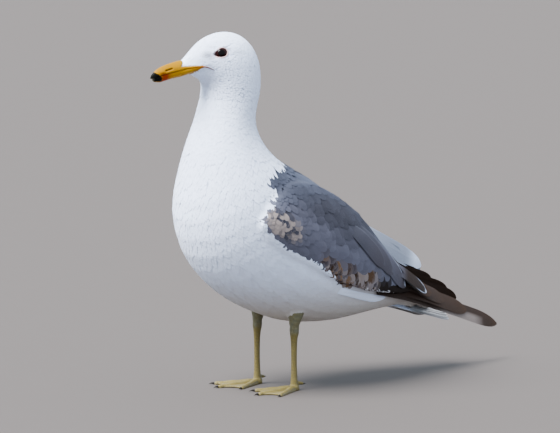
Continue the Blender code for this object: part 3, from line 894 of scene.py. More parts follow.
def skin_finish():
    """Matt skin that carries the markings of the coat over it."""
    finish = Finish("skin")
    grain = finish.noise(700.0, 5.0)
    colour = finish.scaled(finish.attribute("tone"), 0.84 + grain * 0.2)
    values = {
        "Base Color": colour,
        "Roughness": 0.8,
        "Normal": finish.bump(grain, 0.25 * MM),
    }
    return finish.close(values)


# ---- Skin ------------------------------------------------------------------------------

LID_HALF_LENGTH, LID_HALF_HEIGHT = 6.1, 4.7
LID_POINT = 0.26  # how much the front corner narrows
LID_TILT = math.radians(8)
LID_MARGIN = 1.1  # where the skin meets the ring, as a share of the almond
LID_EDGE = 1.3  # where the lids' colour ends, as a share of the almond
LID_BLEND = (1.2, 1.9)  # over which shares of the almond the lids turn into the face
LID_SPAN = 14.0  # how far from an eyeball's centre its lids reach
LID_RISE, SOCKET_SINK = 0.28, 1.4  # the lids over the ball, and the skin behind it
LIDS_ABOVE = 300.0
FINE_SPANS = (13.0, 11.0)  # how far round an eye the skin's edges are halved, in turn
EYE_LOOK = (0.42, 0.855, 0.30)  # outward from the ball's centre: ahead, out, up
FEATHERS_FROM = 1.2  # where feathers start, as a share of the almond
FAR = 9.0  # stands for any distance or reach too large to matter


class Opening:
    """The almond between the lids, measured on the eyeball of one side."""

    def __init__(self, side):
        name, sign = side
        self.centre = Head.eyes[name]
        ahead, out, up = EYE_LOOK
        self.outward = unit(Head.ahead * ahead + Head.leftward * (out * sign) + UP * up)
        forward = flatten(Head.ahead, self.outward)
        upward = flatten(flatten(UP, self.outward), forward)
        self.long = forward * math.cos(LID_TILT) - upward * math.sin(LID_TILT)
        self.high = forward * math.sin(LID_TILT) + upward * math.cos(LID_TILT)

    def narrow(self, share):
        return 1 - LID_POINT * ((1 + np.clip(share, -1, 1)) / 2) ** 2

    def reach(self, points):
        """1 on the almond's edge, less inside it, and large behind the ball."""
        away = points - self.centre
        long = away @ self.long / LID_HALF_LENGTH
        high = away @ self.high / LID_HALF_HEIGHT
        reach = np.hypot(long, high / self.narrow(long))
        return np.where(away @ self.outward > 0, reach, FAR)

    def edge(self, angle, scale=1.0):
        """A direction from the ball's centre to the almond's edge."""
        long = math.cos(angle)
        high = math.sin(angle) * self.narrow(long) * LID_HALF_HEIGHT / EYE_RADIUS
        long = long * LID_HALF_LENGTH / EYE_RADIUS
        out = math.sqrt(max(0.0, 1 - (long**2 + high**2) * scale**2))
        return self.long * long * scale + self.high * high * scale + self.outward * out


OPENINGS = [Opening(side) for side in SIDES]


def lid_reach(points):
    return np.minimum(*(opening.reach(points) for opening in OPENINGS))


COAT_DEPTH = ((200.0, 1.7), (235.0, 1.4), (262.0, 1.1), (290.0, 0.8), (350.0, 0.6))
WING_DEPTH = 2.2
HEAD_LOW = 285.0
SHEATH_DEPTH = 1.3
WALL_START, WALL_REACH, WALL_SHARE = 0.2, 40.0, 0.3  # how a thin wall limits the depth
SKIN_END, SKIN_END_SHARE = 64.0, 0.06  # the skin under the bill stops short, ahead


def coat_depth(points):
    """How far the skin lies under the coat's outside."""
    depth = curve(points[:, 2], COAT_DEPTH)
    depth = depth + (WING_DEPTH - depth) * grey_cover(points, 4.0)
    near = np.where(points[:, 2] > HEAD_LOW, -bare_depth(points), FAR)
    return depth * (0.3 + 0.7 * smooth_step(near, 0.5, 5.0))


def sheathed(points):
    """1 where the bill's sheath lies over the skin, 0 on the rest."""
    share = np.zeros(len(points))
    head = points[:, 2] > HEAD_LOW
    beside = node_surface(*BILLS).distance(points[head])
    share[head] = smooth_step(bare_depth(points[head]), -0.2, 0.8)
    share[head] *= fade(beside, 0.8, 1.4)
    return share


def sunk(surface):
    """The outside moved in by the coat's depth, but never through a thin wall."""
    depth = coat_depth(surface.points)
    start = surface.points - surface.normals * WALL_START
    rays = zip(start.tolist(), (-surface.normals).tolist())
    hits = [surface.tree.ray_cast(place, way, WALL_REACH)[3] for place, way in rays]
    wall = np.array([WALL_REACH if hit is None else hit for hit in hits])
    depth = depth + (SHEATH_DEPTH - depth) * sheathed(surface.points)
    depth = np.minimum(depth, WALL_SHARE * wall)
    depth = surface.spread(depth[:, None], 2)
    points = surface.points - surface.normals * depth
    ahead = Head.measures(points)[0]
    past = np.maximum(ahead - SKIN_END, 0.0) * (points[:, 2] > HEAD_LOW)
    return points - Head.ahead * (past * (1 - SKIN_END_SHARE))[:, None]


def finer_round_eyes(points, faces):
    """Halves the skin's edges round both eyes, so that the lids are crisp."""
    mesh = bmesh.new()
    for point in points:
        mesh.verts.new(point)
    mesh.verts.ensure_lookup_table()
    for face in faces.tolist():
        mesh.faces.new([mesh.verts[k] for k in face])
    mesh.verts.index_update()
    for span in FINE_SPANS:
        close = set()
        for opening in OPENINGS:
            middle = Vector(opening.centre + opening.outward * EYE_RADIUS)
            close |= {v for v in mesh.verts if (v.co - middle).length < span}
        edges = [e for e in mesh.edges if e.verts[0] in close and e.verts[1] in close]
        bmesh.ops.subdivide_edges(mesh, edges=edges, cuts=1)
        bmesh.ops.triangulate(mesh, faces=[f for f in mesh.faces if len(f.verts) > 3])
    mesh.verts.index_update()
    points = np.array([v.co[:] for v in mesh.verts])
    faces = np.array([[v.index for v in f.verts] for f in mesh.faces])
    mesh.free()
    return points, faces


def set_lids(points):
    """Opens the almond, lays the lids on the ball and blends them into the face."""
    for opening in OPENINGS:
        reach = opening.reach(points)
        near = np.linalg.norm(points - opening.centre, axis=1) < LID_SPAN
        reach = np.where(near, reach, FAR)
        away = unit(points - opening.centre)
        lid = np.where(reach < LID_MARGIN, EYE_RADIUS - SOCKET_SINK, EYE_RADIUS + LID_RISE)
        target = opening.centre + away * lid[:, None]
        points = mix(points, target, 1 - smooth_step(reach, *LID_BLEND))
    return points


def make_skin():
    """One closed skin for all the flesh, sunk under the coat and opened for the eyes."""
    lid, eye, bill = colours("gull_bare", "lid", "eye", "bill")
    surface = outline()
    points, faces = finer_round_eyes(sunk(surface), surface.faces)
    points = set_lids(points)
    tone, _ = plumage(points, None)
    reach = lid_reach(points)
    lids = 1 - smooth_step(reach, LID_MARGIN, LID_EDGE)
    tone = mix(tone, lid, lids * (points[:, 2] > LIDS_ABOVE))
    # painted shade: the skin in the socket behind the eyeball is made dark
    tone = mix(tone, eye * 0.4, (reach < LID_MARGIN) * 1.0)
    bare = smooth_step(bare_depth(points), -0.2, 0.3) * (points[:, 2] > HEAD_LOW)
    tone = mix(tone, bill, bare)
    make_piece("skin", points, faces, skin_finish(), "plumage_white", FLESH, tone=tone)


# ---- Coat ------------------------------------------------------------------------------

HEAD_FROM, NECK_FROM = 288.0, 236.0
TUCKED = ("wingtip_left", "wingtip_right", "tarsus_left", "tarsus_right")
TAIL_STARTS, LAST_TAIL_ROOT = 150.0, 172.0
LOWEST_THIGH_ROOT = 70.0
CLEAR_OF_LEGS, THIGH_REACH = 1.2, 1.5
BREAST_FROM = 150.0


@functools.lru_cache
def coat_flow():
    """The lie of the coat at each point of the outline, evened out."""
    surface = outline(TRAILING)
    flow = lie_of_coat(surface.points, surface.normals)
    return unit(surface.spread(flow, 6))


@functools.lru_cache
def coat_ground():
    """Where feathers can root: 1 on open skin, 0 by bill, eyes, tail and legs."""
    surface = outline(TRAILING)
    points = surface.points
    free = (lid_reach(points) > FEATHERS_FROM) * 1.0
    head = points[:, 2] > HEAD_LOW
    free[head] *= bare_depth(points[head]) < -0.5
    free[head] *= rictus_distance(points[head]) > 1.0
    low = points[:, 2] < BREAST_FROM
    free[low] *= node_surface(*TUCKED).distance(points[low]) > CLEAR_OF_LEGS
    free[low] *= points[low, 1] < LAST_TAIL_ROOT
    off_rump = node_surface("trunk").distance(points[low]) > CLEAR_OF_LEGS
    free[low] *= ~(off_rump & (points[low, 1] > TAIL_STARTS))
    thigh = node_surface("tibia_left", "tibia_right").distance(points[low]) < THIGH_REACH
    free[low] *= ~(thigh & (points[low, 2] < LOWEST_THIGH_ROOT))
    return free[surface.faces].min(1)


def face_middle(surface):
    return surface.points[surface.faces].mean(1)


FREE_TIPS_FROM = 130.0  # behind this, the tips of the grey coat may leave the body
NEVER = 999.0
MOST_STRAY = 6.0  # a feather that would stand further off the body is left out
SINK_CURVE = 2.2  # more than 1 keeps a feather near the surface until close to its root
ROOT_EXTRA = 0.15  # how far under the skin a feather starts
LEAST_SIZE, SIZE_RANGE = 0.85, 0.3  # of a feather beside the tract's own size
LEAST_RISE = 0.4  # of a feather's tip beside the tract's own rise


@dataclasses.dataclass
class Tract:
    """A stretch of coat: where its tips may lie, and how its feathers are spaced and shaped."""

    name: str
    ground: Callable
    tips: Callable
    spacing: Callable
    length: Callable
    width: Callable
    shares: tuple
    shape: tuple
    columns: int
    rise: float
    swerve: float
    slot: str
    cover: float = 0.0
    gloss: float = 0.8
    sheen: float = 0.2
    rough_edge: float = 0.5
    soft: float = 0.7
    thick: float = 0.15

    def make(self, rng):
        shares, shape = np.array(self.shares), np.array(self.shape)
        chosen = bpy.context.scene.gull_sizes
        surface = outline(TRAILING)
        weights = coat_ground() * self.ground(face_middle(surface))
        roots = scatter(surface, weights, self.spacing, rng)
        luck = rng.random((len(roots), 4))
        swerve = unit(rng.standard_normal((len(roots), 3))) * self.swerve
        lengths = self.length(roots) * (LEAST_SIZE + SIZE_RANGE * luck[:, 0])
        lengths = lengths * chosen.feather_length
        free_from = FREE_TIPS_FROM if self.cover else NEVER
        rows, normals = lay(surface, roots, lengths, shares, coat_flow(), swerve, free_from)
        widths = self.width(roots) * (LEAST_SIZE + SIZE_RANGE * luck[:, 1])
        widths = widths * chosen.feather_width
        side = unit(np.cross(normals, np.gradient(rows, axis=1)))
        side = side * (widths[:, None] / 2 * shape)[..., None]
        edges = np.stack((rows + side, rows - side), axis=1)
        stray = surface.distance(edges.reshape(-1, 3)).reshape(len(rows), -1).max(1)
        kept = (self.tips(rows[:, -2]) > 0) & (stray < MOST_STRAY)
        kept &= lid_reach(rows[:, -1]) > LID_MARGIN
        parts = (roots, luck, lengths, widths, rows, normals)
        roots, luck, lengths, widths, rows, normals = (part[kept] for part in parts)
        depth = coat_depth(rows[:, 0])[:, None] + ROOT_EXTRA
        sink = (1 - shares[None]) ** SINK_CURVE
        lift = self.rise * (LEAST_RISE + luck[:, 2:3]) * shares[None] ** 2
        centres = rows + normals * (lift - depth * sink)[..., None]
        halves = widths[:, None] / 2 * shape[None]
        tone, rim = plumage(rows[:, -2], rng, self.cover)
        size = np.stack((lengths, widths / 2, luck[:, 0]), axis=1)
        vanes = Vanes()
        vanes.add(
            centres, normals, halves, shares, self.columns, self.thick, 0.0, self.soft,
            (surface, rows), tone=tone, rim=rim, luck=luck[:, 3:4], size=size,
            root=unwrap(roots),
        )
        finish = vane_finish(self.name, self.gloss, self.sheen, self.rough_edge)
        vanes.piece(self.name, finish, self.slot)


def by_height(*pairs):
    """A size that changes with height, from (height, size) pairs."""
    return lambda points: curve(points[:, 2], pairs)


def near_face(points):
    """1 close to the bill's base and the eyes, fading over the crown and cheeks."""
    return smooth_step(Head.measures(points)[0], -5.0, 34.0)


def above(height):
    return lambda points: (points[:, 2] >= height) * 1.0


def between(low, high):
    return lambda points: ((points[:, 2] >= low) & (points[:, 2] < high)) * 1.0


def below(height):
    return lambda points: (points[:, 2] < height) * 1.0


def on_white(points):
    return (grey_edge(points) < 0.5) * 1.0


def on_grey(points):
    return (grey_edge(points) > -0.5) * 1.0


def near_grey(points):
    return (grey_edge(points) > -30.0) * 1.0


def finer(points):
    """1 where the grey feathers are small: the shoulder, the edge and the worn coverts."""
    fine = np.clip(np.maximum(0.85 * brown_band(points), mottle(points)), 0, 1)
    front = 1 - smooth_step(points[:, 1], -50.0, 30.0)
    edge = 1 - smooth_step(grey_edge(points), 2.0, 22.0)
    edge = edge * (1 - smooth_step(points[:, 1], 60.0, 90.0))
    return np.maximum(np.maximum(fine, 0.6 * front), edge)


def near_wing(points):
    """1 where white feathers border the grey and so are small."""
    return smooth_step(grey_edge(points), -20.0, -3.0)


def ranging(plain, small, share):
    """A size that goes from plain to small with a share of the points."""
    return lambda points: plain + (small - plain) * share(points)


POINTED = (0.25, 0.8, 1.0, 0.72, 0.1)
POINTED_AT = (0.0, 0.3, 0.58, 0.82, 1.0)
ROUND = (0.3, 0.75, 0.97, 1.0, 0.86, 0.55, 0.16)
ROUND_AT = (0.0, 0.22, 0.45, 0.66, 0.84, 0.95, 1.0)


def coat_tracts():
    white = {"shares": POINTED_AT, "shape": POINTED, "columns": 3, "tips": on_white,
             "slot": "plumage_white", "soft": 0.88}
    return (
        Tract(
            "coat_head", above(HEAD_FROM), spacing=ranging(1.8, 1.4, near_face),
            length=ranging(7.0, 4.0, near_face), width=ranging(3.4, 2.2, near_face),
            rise=0.01, swerve=0.06, thick=0.06, **white,
        ),
        Tract(
            "coat_neck", between(NECK_FROM, HEAD_FROM),
            spacing=by_height((236, 2.5), (290, 1.9)),
            length=by_height((236, 15.0), (290, 9.0)),
            width=by_height((236, 6.0), (290, 4.4)), rise=0.02, swerve=0.08, thick=0.08,
            **white,
        ),
        Tract(
            "coat_breast", between(BREAST_FROM, NECK_FROM),
            spacing=ranging(3.2, 2.4, near_wing), length=ranging(20.0, 11.0, near_wing),
            width=ranging(6.8, 4.6, near_wing), rise=0.04, swerve=0.1, thick=0.1, **white,
        ),
        Tract(
            "coat_belly", below(BREAST_FROM), spacing=ranging(3.5, 2.6, near_wing),
            length=ranging(23.0, 12.0, near_wing), width=ranging(7.8, 5.0, near_wing),
            rise=0.08, swerve=0.14, **white,
        ),
        Tract(
            "coat_back_wings", near_grey, on_grey,
            spacing=ranging(5.4, 2.7, finer), length=ranging(36.0, 12.0, finer),
            width=ranging(14.0, 5.0, finer), shares=ROUND_AT, shape=ROUND, columns=5,
            rise=0.08, swerve=0.04, slot="plumage_grey", cover=1.0, gloss=0.75, sheen=0.0,
            soft=0.9, thick=0.08,
        ),
    )


def make_coat():
    rng = np.random.default_rng(SEED)
    for tract in coat_tracts():
        tract.make(rng)


# ---- Quills: wing, flank and tail ------------------------------------------------------

QUILL_ROWS, QUILL_COLUMNS = 22, 9
ROOT_SHARE, ROOT_SINK = 0.45, 1.6
HOLD_REACH = 14.0  # a quill further off the body than this isn't raised to clear it
QUILL_ROUNDS = 3
BASE_WIDTH, BASE_SHARE = 0.55, 0.3  # how slim a quill's base is, and how long
LEAST_TIP = 0.012  # keeps the last row from closing to a point
TIP_CROWDING = 1.35  # more than 1 brings the rows closer together at the tip
# A held quill turned at least this far lies flush on the body over its first part.
FLUSH_FROM, FLUSH = math.radians(59), (0.2, 0.8)
# Folded feathers of the left wing, and of the right one with x mirrored when it is made:
# root, tip (x, y, z), width, how far the vane faces outward from level in degrees.
PRIMARY_QUILLS = {
    "left": (
        ((31, 92, 98), (4, 281, 35), 16.5, 60),
        ((29, 96, 102), (11, 236, 53.5), 17.5, 56),
        ((27, 100, 106), (15, 204, 67.5), 17.5, 52),
        ((26, 100, 112), (19, 184, 76), 17.0, 50),
        ((25, 100, 118), (22, 168, 83), 16.0, 48),
    ),
    "right": (
        ((33, 108, 104), (8, 239, 62), 18.5, 60),
        ((31, 110, 108), (11, 230, 70), 18.5, 56),
        ((29, 112, 112), (14, 212, 81), 18.0, 52),
        ((28, 112, 118), (17, 200, 86), 17.0, 50),
    ),
}
TERTIAL_QUILLS = {
    "left": (
        ((46, 44, 158), (41, 98, 112), 18.0, 66),
        ((43, 54, 160), (38.5, 114, 103), 19.0, 62),
        ((40, 76, 146), (34, 138, 88), 20.0, 60),
        ((32, 112, 116), (27, 171, 79), 13.0, 56),
        ((27, 108, 126), (24, 150, 92), 14.0, 25),
    ),
    "right": (
        ((46, 48, 158), (41, 112, 112), 20.0, 58),
        ((40, 70, 162), (36, 146, 100), 21.0, 58),
        ((33, 92, 160), (30, 176, 92), 21.0, 56),
        ((26, 104, 150), (25, 197, 90), 18.0, 40),
        ((17, 106, 132), (18.5, 188, 93), 20.0, -78),
        ((18, 104, 147), (19.5, 204, 96), 20.0, -70),
    ),
}


def quill_tip(shares, rounding):
    """A vane's width along its length: a slim base and a rounded tip."""
    base = BASE_WIDTH + 0.45 * smooth_step(shares, 0.0, BASE_SHARE)
    end = np.clip((1 - shares) / rounding, 0.0, 1.0)
    return base * np.sqrt(np.maximum(1 - (1 - end) ** 2, LEAST_TIP))


def quill_shares():
    """Rows along a quill, closer together at its tip."""
    even = np.linspace(0.0, 1.0, QUILL_ROWS)
    return 1 - (1 - even) ** TIP_CROWDING


def quill_rows(quills, sign, bow, clearance, root_hold):
    """Centres and normals along each quill; it lies on the body where that is near.

    root_hold is how far its base is drawn in under the coat.
    """
    shares = quill_shares()
    surface = outline()
    roots, tips, _, turns = zip(*quills)
    roots, tips = (np.array(ends, float) * (sign, 1, 1) for ends in (roots, tips))
    turns = np.radians(turns)
    clearance = np.repeat(np.broadcast_to(clearance, len(quills)), len(shares))
    facing = np.stack((sign * np.sin(turns), np.zeros(len(turns)), np.cos(turns)), axis=1)
    line = roots[:, None] + (tips - roots)[:, None] * shares[None, :, None]
    ahead = unit(tips - roots)
    facing = flatten(facing, ahead)
    arc = 4 * shares * (1 - shares)
    line = line + facing[:, None] * (bow * arc)[None, :, None]
    flat = line.reshape(-1, 3)
    found, blend = surface.settle(flat)
    normal = unit(surface.read(surface.normals, blend))
    out = ((flat - found) * normal).sum(1)
    near = np.abs(flat - found).max(1) < HOLD_REACH
    flat = flat + normal * (np.clip(clearance - out, 0.0, HOLD_REACH) * near)[:, None]
    root = 1 - smooth_step(np.tile(shares, len(quills)), 0.0, ROOT_SHARE)
    under = found - normal * ROOT_SINK
    line = mix(flat, under, root * root_hold).reshape(line.shape)
    even_out(line.swapaxes(0, 1), QUILL_ROUNDS)
    flush = root_hold * (1 - smooth_step(shares, *FLUSH)) * (turns > FLUSH_FROM)[:, None]
    normals = mix(facing[:, None], normal.reshape(line.shape), flush)
    return line, flatten(normals, ahead[:, None]), shares


def add_quills(vanes, quills, sign, colour, bow, clearance, rounding, thick=0.7, cup=0.006,
               root_hold=0.0):
    """Adds one row of quills; colour gives tone and rim from (index, along, across, base).

    base is the coat's own tone at each place. bow lifts a quill's middle, clearance is how
    far it stays off the body, and rounding is the share of its length that the tip takes.
    """
    line, normals, shares = quill_rows(quills, sign, bow, clearance, root_hold)
    count = len(quills)
    widths = np.array([q[2] for q in quills], float)
    halves = widths[:, None] / 2 * quill_tip(shares, rounding)[None]
    grid = (count, QUILL_ROWS, QUILL_COLUMNS)
    index = np.broadcast_to(np.arange(count)[:, None, None], grid)
    along = np.broadcast_to(shares[None, :, None], grid)
    across = np.broadcast_to(np.linspace(-1, 1, QUILL_COLUMNS) * sign, grid)
    base = plumage(line.reshape(-1, 3), None, 1.0)[0].reshape(count, QUILL_ROWS, 1, 3)
    tone, rim = colour(index, along, across, np.broadcast_to(base, (*grid, 3)))
    lengths = np.linalg.norm(line[:, -1] - line[:, 0], axis=1)
    size = np.stack((lengths, widths / 2, np.zeros(count)), axis=1)
    luck = np.linspace(0.2, 0.8, count)[:, None]
    vanes.add(line, normals, halves, shares, QUILL_COLUMNS, thick, cup, 0.0, tone=tone,
              rim=rim, luck=luck, size=size)


MIRROR_STARTS, MIRROR_ENDS, MIRROR_SIDE = (0.5, 0.62), (0.82, 0.9), (-0.15, 0.2)
FIRST_LATE = 3  # the tertials from this one on are the hindmost ones


def rimmed(tone, rim, strength):
    return np.concatenate((np.broadcast_to(rim, tone.shape), strength[..., None]), axis=-1)


def primary_colour(side):
    """The rule for the primaries' colour; the left outermost shows a pale mirror."""
    black, brown, pale = colours("gull_plumage", "black", "brown", "pale")

    def colour(index, along, across, base):
        tip = smooth_step(along, 0.8, 1.0)
        tone = mix(black, brown, 0.25 + 0.3 * tip + 0.2 * (index % 2))
        if side == "left":
            mirror = (index == 0) * smooth_step(along, *MIRROR_STARTS)
            mirror = mirror * fade(along, *MIRROR_ENDS) * fade(across, *MIRROR_SIDE)
            tone = mix(tone, pale * 0.75, mirror * 0.85)
        return tone, rimmed(tone, brown * 1.6, 0.25 * tip)

    return colour


def tertial_colour(side):
    """The rule for the tertials' colour; the late ones are dark left, and right are painted pale
    as lit by the sky, with white tips.
    """
    slate, white, brown, black = colours("gull_plumage", "slate", "white", "brown", "black")

    def colour(index, along, across, base):
        late = (index >= FIRST_LATE) * 1.0
        if side == "left":
            worn = slate * 0.85 + brown * 0.4
            tone = mix(base, worn, 0.8 * smooth_step(along, 0.3, 0.9) * (1 - late))
            tone = mix(tone, black, late * smooth_step(along, 0.1, 0.6))
            rear = smooth_step(across, -0.3, 0.5)
            last_early = index == FIRST_LATE - 1
            thin = rear * (0.05 + 0.4 * smooth_step(along, 0.4, 0.8) * last_early)
            thin = thin * (1 - late)
            broad = late * smooth_step(along, 0.7, 0.9)
            return tone, rimmed(tone, white * 0.7, np.clip(thin + broad, 0, 0.9))
        # painted light: the far wing's late tertials are made pale, as lit by the sky
        tone = mix(base, white * FAR_WING_PAINTED_LIGHT, late * 0.8)
        whole = smooth_step(along, 0.78, 0.96) * late
        tone = mix(tone, white * 0.85, whole * 0.9)
        strength = 0.05 + 0.3 * smooth_step(along, 0.8, 0.95)
        return tone, rimmed(tone, white * 0.8, strength)

    return colour


FLANK_TUFT, FLANK_WIDTH, FLANK_TURN = 16, 7.0, 105
FLANK_ROOTS = ((51, 30, 99), (36, 82, 83))
FLANK_TIPS = ((48, 60, 91), (31, 113, 81))
TERTIAL_CLEARANCE = ((0, 2.0), (2, 1.6), (3, 0.8))  # off the body, by the tertial's number


def flank_colour(index, along, across, base):
    tone = np.broadcast_to(*colours("gull_plumage", "white"), (*index.shape, 3))
    return tone, rimmed(tone, tone, 0.0 * along)


def make_wing_quills():
    finish = vane_finish("quill", gloss=0.6, sheen=0.0, rough_edge=0.12, rim_from=0.8)
    soft = vane_finish("flank_tuft", gloss=0.8, sheen=0.2, rough_edge=0.6)
    roots = np.linspace(*FLANK_ROOTS, FLANK_TUFT).tolist()
    tips = np.linspace(*FLANK_TIPS, FLANK_TUFT).tolist()
    tuft = [(root, tip, FLANK_WIDTH, FLANK_TURN) for root, tip in zip(roots, tips)]
    for side, sign in SIDES:
        vanes = Vanes()
        add_quills(
            vanes, PRIMARY_QUILLS[side], sign, primary_colour(side), bow=2.0, clearance=0.4,
            rounding=0.16,
        )
        vanes.piece("primaries_" + side, finish, "plumage_black", ("wingtip_" + side,))
        vanes = Vanes()
        quills = TERTIAL_QUILLS[side]
        clearance = curve(np.arange(len(quills)), TERTIAL_CLEARANCE)
        add_quills(
            vanes, quills, sign, tertial_colour(side), bow=3.0, clearance=clearance,
            rounding=0.3, root_hold=1.0,
        )
        vanes.piece("tertials_" + side, finish, "plumage_grey")
        vanes = Vanes()
        add_quills(
            vanes, tuft, sign, flank_colour, bow=1.5, clearance=0.8, rounding=0.75,
            thick=0.4, cup=0.02, root_hold=1.0,
        )
        vanes.piece("flank_tuft_" + side, soft, "plumage_white")


TAIL_PAIRS = 6
TAIL_ROOT, TAIL_TIP = (141.0, 73.0), (211.0, 55.5)  # of the middle pair: (y, z)
TAIL_HALF_SPREAD = 17.5
TAIL_ARCH = 4.5
# Painted shade: the white tail is drawn greyer and warmer past its base, as the wing shades its
# underside.
TAIL_PAINTED_SHADE = (0.5, 0.45, 0.37)
TAIL_FIRST = 1.2  # how far out the middle pair lies
TAIL_STACK = 0.45  # how far each pair lies under the one before
TAIL_WIDTH, TAIL_TURN, TAIL_FAN = 11.0, 6, 22


def make_tail():
    white, black, slate = colours("gull_plumage", "white", "black", "slate")
    quills = []
    for pair in range(TAIL_PAIRS):
        share = pair / (TAIL_PAIRS - 1)
        out = TAIL_FIRST + (TAIL_HALF_SPREAD - TAIL_FIRST) * share
        drop = TAIL_ARCH * share**2 + TAIL_STACK * pair
        root = (out * 0.45, TAIL_ROOT[0], TAIL_ROOT[1] - 0.7 * drop)
        tip = (out, TAIL_TIP[0] - 3.5 * share**2, TAIL_TIP[1] - drop)
        quills.append((root, tip, TAIL_WIDTH, TAIL_TURN + TAIL_FAN * share))

    def colour(index, along, across, base):
        outer = (index == TAIL_PAIRS - 1) * smooth_step(np.abs(across), 0.3, 0.8)
        dark = outer * smooth_step(along, 0.2, 0.5)
        # painted shade past the tail's base
        tone = mix(white * TAIL_PAINTED_SHADE, black, dark * 0.9)
        tone = mix(white, tone, smooth_step(along, 0.1, 0.45))
        dusk = 0.25 * smooth_step(along, 0.5, 0.95) * (0.4 + 0.6 * np.abs(across))
        tone = mix(tone, slate, dusk)
        return tone, rimmed(tone, white * 0.7, np.full(index.shape, 0.2))

    vanes = Vanes()
    for _, sign in SIDES:
        add_quills(
            vanes, quills, sign, colour, bow=1.0, clearance=-9.0, rounding=0.16, thick=0.6,
            cup=0.01,
        )
    finish = vane_finish("tail", gloss=0.6, sheen=0.1, rough_edge=0.12, rim_from=0.8)
    vanes.piece("tail_feathers", finish, "plumage_white", ("tail",))


# ---- Bill ------------------------------------------------------------------------------

BILL_VOXEL, BILL_SMOOTHING = 0.45, 7
BILL_CORE_UP = -7.0
TUCKED_UNDER = 0.35  # how far the sheath shrinks to the bill's core under the feathers
SHEATH_RISE, SHEATH_EDGE = 0.25, (-0.6, 0.2)
PAINTED_TOP_SHADE = 0.34  # painted shade: how much darker the colour is made where the bill faces up to the light
NOSTRIL = ((69.2, -5.0), (75.4, -6.6))  # from, to: ahead, up
NOSTRIL_DEPTH, NOSTRIL_HALF = 0.9, 0.75
# The bill's colours, by how far ahead of the skull's middle they start and end; over and
# under are heights.
GREEN_BASE, GREEN_UPPER = (46.0, 66.0), (-4.5, -0.5)  # upper: only above this height
LOWER_GREEN = 0.3
GAPE_LINE, GAPE_LINE_HALF, GAPE_SHOWN = 4.6, 0.9, (44.0, 62.0)  # along the mouth's line
GAPE_CORNER = (33.0, 39.0)
UPPER_RED, UPPER_RED_HALF, UPPER_RED_UNDER = 78.5, 3.5, (-9.0, -6.5)
LOWER_RED, LOWER_RED_HALF = 76.0, 4.6
UPPER_BAND, LOWER_BAND = (84.8, 86.4), (79.4, 81.0)
LOWER_BAND_OVER = (-16.9, -16.2)
TIP_PALE, TIP_PALE_UNDER = (86.6, 88.4), (-14.4, -12.6)


def nostril_depth(ahead, up):
    """How deep the slit of the nostril is at each place on the upper bill."""
    start, end = np.array(NOSTRIL)
    run = end - start
    place = np.stack((ahead, up), axis=1) - start
    share = np.clip(place @ run / (run @ run), 0.0, 1.0)
    far = np.linalg.norm(place - share[:, None] * run, axis=1)
    return mound(far, 0.0, NOSTRIL_HALF)


def bill_tone(points, upper):
    """The bill's yellow with its green base, mouth's line, red spot, dark band and tip."""
    yellow, green, red, dark, horn, gape = colours(
        "gull_bare", "bill", "bill_base", "bill_spot", "bill_band", "horn", "gape"
    )
    ahead, _, up = Head.measures(points)
    wave = 0.7 * np.sin(points[:, 2] * 1.7) + 0.4 * np.sin(points[:, 0] * 2.9)
    greenish = smooth_step(up, *GREEN_UPPER) if upper else LOWER_GREEN
    tone = mix(yellow, green, fade(ahead, *GREEN_BASE) * greenish)
    edge = mound(up + GAPE_LINE + 0.11 * (ahead - GAPE_SHOWN[0]), 0.0, GAPE_LINE_HALF)
    tone = mix(tone, gape, edge * fade(ahead, *GAPE_SHOWN) * 0.8)
    tone = mix(tone, gape * 0.55, fade(ahead, *GAPE_CORNER))
    if upper:
        # painted shade inside the nostril's slit
        tone = mix(tone, gape * 0.3, 0.9 * nostril_depth(ahead, up))
        spot = 0.8 * mound(ahead, UPPER_RED, UPPER_RED_HALF) * fade(up, *UPPER_RED_UNDER)
        tone = mix(tone, red * 0.5, spot)
        band = smooth_step(ahead + 0.6 * wave - 1.3 * (up + 8.1), *UPPER_BAND)
    else:
        spot = mound(ahead, LOWER_RED, LOWER_RED_HALF)
        tone = mix(tone, red, np.clip(spot * 1.2, 0, 1))
        band = smooth_step(ahead + 0.6 * wave - 0.33 * (up + 12.2), *LOWER_BAND)
        band = band * smooth_step(up, *LOWER_BAND_OVER)
    tone = mix(tone, dark, band)
    tip = smooth_step(ahead + 0.3 * wave, *TIP_PALE) * fade(up, *TIP_PALE_UNDER)
    return mix(tone, horn, tip * 0.8)


KERATIN_GLOSS = 0.35


def keratin_finish(name, coat, grain_size):
    """Horny sheath: fine lengthwise growth lines and a dull polish."""
    finish = Finish(name)
    grain = finish.noise(grain_size, 4.0)
    fleck = finish.noise(grain_size * 4, 2.0)
    colour = finish.scaled(finish.attribute("tone"), 0.86 + grain * 0.2 + fleck * 0.08)
    values = {
        "Base Color": colour,
        "Roughness": grain * 0.2 + KERATIN_GLOSS,
        "Specular IOR Level": 0.03,
        "Coat Weight": coat,
        "Coat Roughness": 0.3,
        "Normal": finish.bump(grain + fleck * 0.4, 0.12 * MM),
    }
    return finish.close(values)


